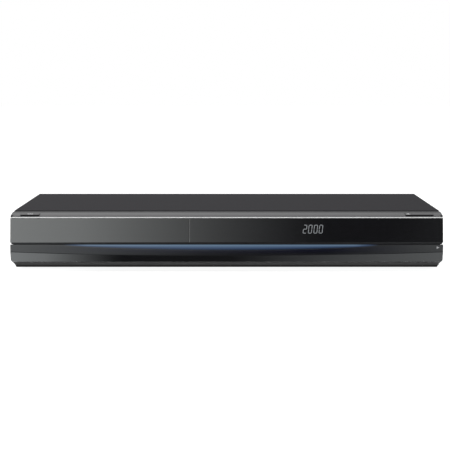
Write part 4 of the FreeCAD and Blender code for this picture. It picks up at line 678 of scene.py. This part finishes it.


# %% Painted highlight at the seam: a pale strip
def seam_highlight_strip(width, drop, proud):
    """A pale strip along the window's end at the seam, a painted highlight standing in for the
    light on that edge: it follows the lean of the panel, stands proud by a hair, and drop keeps
    it short of the panel's top and bottom."""
    x1 = window_low[0]
    x0 = x1 - width
    rows = np.linspace(window_low[2] + drop, window_high[2] - drop, 9)
    front = window_low[1] + PANEL_RUN * (rows - window_low[2]) / PANEL_RISE - proud
    back = front + 0.0012
    points = np.concatenate([np.stack([np.full(9, x), y, rows], axis=1)
                             for x, y in ((x0, front), (x1, front), (x1, back), (x0, back))])
    faces = [(a * 9 + row, b * 9 + row, b * 9 + row + 1, a * 9 + row + 1)
             for a, b in ((0, 1), (1, 2), (2, 3), (3, 0)) for row in range(8)]
    faces += [(27, 18, 9, 0), (8, 17, 26, 35)]
    mesh = bpy.data.meshes.new("seam_highlight_strip")
    mesh.from_pydata(points.tolist(), [], faces)
    mesh.materials.append(grained("seam_highlight_grey", (0.13, 0.13, 0.13), 0.35, 900, 0.000004))
    piece = bpy.data.objects.new("seam_highlight_strip", mesh)
    bpy.context.scene.collection.objects.link(piece)
    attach(piece, "case")
    return piece


seam_highlight_strip(0.00040, 0.0003, 0.00002)
print("bead at x", round(window_low[0], 4))


# %% Signs on the two top buttons
def ring_parts(centre, inner, outer, start, end, count):
    """A broken ring as short four-cornered pieces, by angle from start to end."""
    turns = np.linspace(start, end, count + 1)
    parts = []
    for a, b in zip(turns[:-1], turns[1:]):
        parts.append(np.array([(centre[0] + r * math.cos(t), centre[1] + r * math.sin(t))
                               for r, t in ((inner, a), (outer, a), (outer, b), (inner, b))]))
    return parts


def on_button(node):
    """A carrier onto the leaning top of a button, (u, v) in mm from its middle."""
    low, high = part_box(node)
    centre = ((low[0] + high[0]) / 2, (low[1] + high[1]) / 2)
    rise = 0.9
    run = (high[1] - low[1]) / MM

    def carry(points):
        """Lay the points on the top face, a hair above it: z rises by rise over run."""
        x = centre[0] + points[:, 0] * MM
        y = centre[1] + points[:, 1] * MM
        z = high[2] - (rise / 2 - points[:, 1] * rise / run - LIFT) * MM
        return np.stack([x, y, z], axis=1)
    return carry


# The printed signs keep their grey print and also get a painted glow of their own.
sign_print_glow = glowing("sign_print_glow", (0.50, 0.50, 0.51), 0.25)
power_sign = ring_parts((0, -0.5), 2.0, 2.7, math.radians(120), math.radians(420), 20)
power_sign.append(np.array([(-0.35, 0.0), (0.35, 0.0), (0.35, 2.8), (-0.35, 2.8)]))
flat_marks("power_sign", power_sign, on_button("power_button"), sign_print_glow, "power_button")
eject_sign = [np.array([(-13.2, -1.0), (-8.8, -1.0), (-11.0, 2.2)]),
              np.array([(-13.2, -2.6), (-8.8, -2.6), (-8.8, -1.7), (-13.2, -1.7)])]
flat_marks("eject_sign", eject_sign, on_button("open_close_button"), sign_print_glow,
           "open_close_button")
print("button signs laid")


# %% [markdown]
# ## The studio
# Black gloss shows little but what it mirrors, so the studio is drawn for reflections as much as
# for light. The floor and the sky behind are white to the camera, and the floor keeps a soft
# shadow. To mirror rays they show soft boxes instead: bright at the left, dark in the middle,
# half bright at the right. Those boxes light nothing, so colours stay as written.

# %% Helper: plain sheets
scene = bpy.context.scene
scene.view_settings.view_transform = "Standard"


def sheet_mesh(name, corners):
    """One four-cornered sheet."""
    mesh = bpy.data.meshes.new(name)
    mesh.from_pydata(corners, [], [(0, 1, 2, 3)])
    piece = bpy.data.objects.new(name, mesh)
    scene.collection.objects.link(piece)
    return piece


print("studio helpers ready")


# %% Floor: white with a soft shadow, soft boxes to mirrors
def floor_finish():
    """White to the camera, plain pale to light, soft boxes to mirror rays. The boxes stay in
    the wedge of floor that the front mirrors, so the ends of the case mirror an even grey."""
    material, tree, shader, place = new_material("floor_pale")
    shader.inputs["Roughness"].default_value = 0.9
    tree.links.new(ramp(tree, noise(tree, place, 3.0), (0.78,) * 3, (0.80,) * 3),
                   shader.inputs["Base Color"])
    x, y, _ = split_xyz(tree, place)
    left = calculate(tree, "SUBTRACT", fade(tree, x, -0.212, -0.104, 1.6, 5.1),
                     fade(tree, x, -0.212, -0.183, 1.0, 1.25))
    near = calculate(tree, "ADD", left, fade(tree, x, 0.215, 0.000, 1.25, 1.9))
    near = calculate(tree, "ADD", near, 0.085)
    far = calculate(tree, "ADD", fade(tree, x, -0.270, 0.120, 2.1, 2.5),
                    fade(tree, x, 0.270, 0.100, 1.5, 1.65))
    boxes = blend_values(tree, fade(tree, y, -0.33, -0.28), near, far)
    widening = calculate(tree, "ADD", calculate(tree, "ABSOLUTE", x),
                         calculate(tree, "MULTIPLY", y, 0.12))
    boxes = blend_values(tree, fade(tree, widening, 0.212, 0.205), boxes, 0.40)
    boxes = blend_values(tree, fade(tree, y, -0.62, -0.55), boxes, 0.95)
    boxes = blend_values(tree, fade(tree, y, -0.110, -0.145), boxes, 0.40)
    glossy = tree.nodes.new("ShaderNodeEmission")
    glossy.inputs["Color"].default_value = (0.955, 1.0, 1.01, 1.0)
    tree.links.new(boxes, glossy.inputs["Strength"])
    veil = tree.nodes.new("ShaderNodeEmission")
    veil.inputs["Strength"].default_value = 0.88
    soft = tree.nodes.new("ShaderNodeBsdfDiffuse")
    soft.inputs["Color"].default_value = (0.38, 0.38, 0.38, 1.0)
    seen = tree.nodes.new("ShaderNodeAddShader")
    tree.links.new(veil.outputs[0], seen.inputs[0])
    tree.links.new(soft.outputs[0], seen.inputs[1])
    path = tree.nodes.new("ShaderNodeLightPath")
    first = tree.nodes.new("ShaderNodeMixShader")
    tree.links.new(path.outputs["Is Glossy Ray"], first.inputs[0])
    tree.links.new(shader.outputs[0], first.inputs[1])
    tree.links.new(glossy.outputs[0], first.inputs[2])
    second = tree.nodes.new("ShaderNodeMixShader")
    tree.links.new(path.outputs["Is Camera Ray"], second.inputs[0])
    tree.links.new(first.outputs[0], second.inputs[1])
    tree.links.new(seen.outputs[0], second.inputs[2])
    tree.links.new(second.outputs[0], tree.nodes["Material Output"].inputs["Surface"])
    return material


FLOOR_REACH = 8.0
floor = sheet_mesh("floor", [(-FLOOR_REACH, -FLOOR_REACH, 0), (FLOOR_REACH, -FLOOR_REACH, 0),
                             (FLOOR_REACH, FLOOR_REACH, 0), (-FLOOR_REACH, FLOOR_REACH, 0)])
floor.data.materials.append(floor_finish())
print("floor laid, half width", FLOOR_REACH)


# %% World: white to the camera, even light, darker near the horizon to mirrors
def studio_world():
    """Three skies mixed by ray: camera, mirror and light."""
    world = bpy.data.worlds.new("studio")
    world.use_nodes = True
    tree = world.node_tree
    direction = tree.nodes.new("ShaderNodeTexCoord").outputs["Generated"]
    x, _, z = split_xyz(tree, direction)
    rising = fade(tree, z, 0.55, 0.02, 1.3, 1.15)
    side = fade(tree, x, -0.6, 0.9, 1.0, 1.6)
    ends = calculate(tree, "ADD", fade(tree, x, -0.90, -0.60, 1.0, 0.25),
                     fade(tree, x, 0.90, 0.60, 1.0, 0.12))
    mirrored = calculate(tree, "ADD", calculate(tree, "MULTIPLY", rising, side), ends)
    skies = []
    for strength in (0.34, mirrored, 1.0):
        sky = tree.nodes.new("ShaderNodeBackground")
        if isinstance(strength, float):
            sky.inputs["Strength"].default_value = strength
        else:
            tree.links.new(strength, sky.inputs["Strength"])
        sky.inputs["Color"].default_value = (1.0, 1.0, 1.0, 1.0)
        skies.append(sky.outputs[0])
    path = tree.nodes.new("ShaderNodeLightPath")
    shown = skies[0]
    for ray, sky in (("Is Glossy Ray", skies[1]), ("Is Camera Ray", skies[2])):
        mix = tree.nodes.new("ShaderNodeMixShader")
        tree.links.new(path.outputs[ray], mix.inputs[0])
        tree.links.new(shown, mix.inputs[1])
        tree.links.new(sky, mix.inputs[2])
        shown = mix.outputs[0]
    tree.links.new(shown, tree.nodes["World Output"].inputs["Surface"])
    return world


scene.world = studio_world()
print("world", scene.world.name)


# %% Lamps and the front card
def soft_lamp(name, place, aim, size, power):
    """A square soft lamp at a place, turned to face the aim point."""
    light = bpy.data.lights.new(name, "AREA")
    light.size = size
    light.energy = power
    lamp = bpy.data.objects.new(name, light)
    scene.collection.objects.link(lamp)
    lamp.location = place
    direction = np.array(aim) - np.array(place)
    flat = math.hypot(direction[0], direction[1])
    lamp.rotation_euler = (math.atan2(flat, -direction[2]), 0.0,
                           math.atan2(direction[1], direction[0]) - math.pi / 2)
    return lamp


middle = (0.0, 0.0, 0.03)
soft_lamp("lamp_left", (-1.6, -1.4, 1.6), middle, 1.2, 26.0)
soft_lamp("lamp_right", (1.8, -1.2, 1.4), middle, 1.2, 14.0)
soft_lamp("lamp_top", (0.0, 0.3, 2.2), middle, 1.6, 22.0)


def gradient_card():
    """A soft box behind the camera: bright at its left, fading to dark right of the middle."""
    card = sheet_mesh("front_card", [(-1.6, -2.6, 0.001), (1.6, -2.6, 0.001), (1.6, -2.6, 1.6),
                                     (-1.6, -2.6, 1.6)])
    material = bpy.data.materials.new("front_card")
    material.use_nodes = True
    tree = material.node_tree
    tree.nodes.remove(tree.nodes["Principled BSDF"])
    x, _, _ = split_xyz(tree, tree.nodes.new("ShaderNodeTexCoord").outputs["Object"])
    glow = tree.nodes.new("ShaderNodeEmission")
    left = calculate(tree, "SUBTRACT", fade(tree, x, -0.54, 0.262, 1.8, 5.96),
                     fade(tree, x, -0.555, -0.355, 1.0, 1.4))
    right = calculate(tree, "ADD", fade(tree, x, 0.62, 0.30, 2.0, 0.3), 0.04)
    tree.links.new(calculate(tree, "ADD", left, right), glow.inputs["Strength"])
    glow.inputs["Color"].default_value = (0.965, 1.0, 0.99, 1.0)
    tree.links.new(glow.outputs[0], tree.nodes["Material Output"].inputs["Surface"])
    card.data.materials.append(material)
    card.visible_diffuse = False
    card.visible_shadow = False
    card.visible_camera = False
    return card


gradient_card()
print("lamps and card set")

# %% [markdown]
# ## The camera
# The photo was taken from about 1.8 m, slightly above the object, with a long lens.

# %% Camera
data = bpy.data.cameras.new("camera")
data.lens = 144.2
data.sensor_width = 36.0
data.shift_x = -0.0071
data.clip_start = 0.05
data.clip_end = 50.0
camera = bpy.data.objects.new("camera", data)
scene.collection.objects.link(camera)
camera.location = (0.0015, cad_box[0][1] - 1.782, 0.2012)
camera.rotation_euler = (math.radians(90.0 - 4.926), 0.0, 0.0)
scene.camera = camera
print("camera at", [round(v, 4) for v in camera.location])
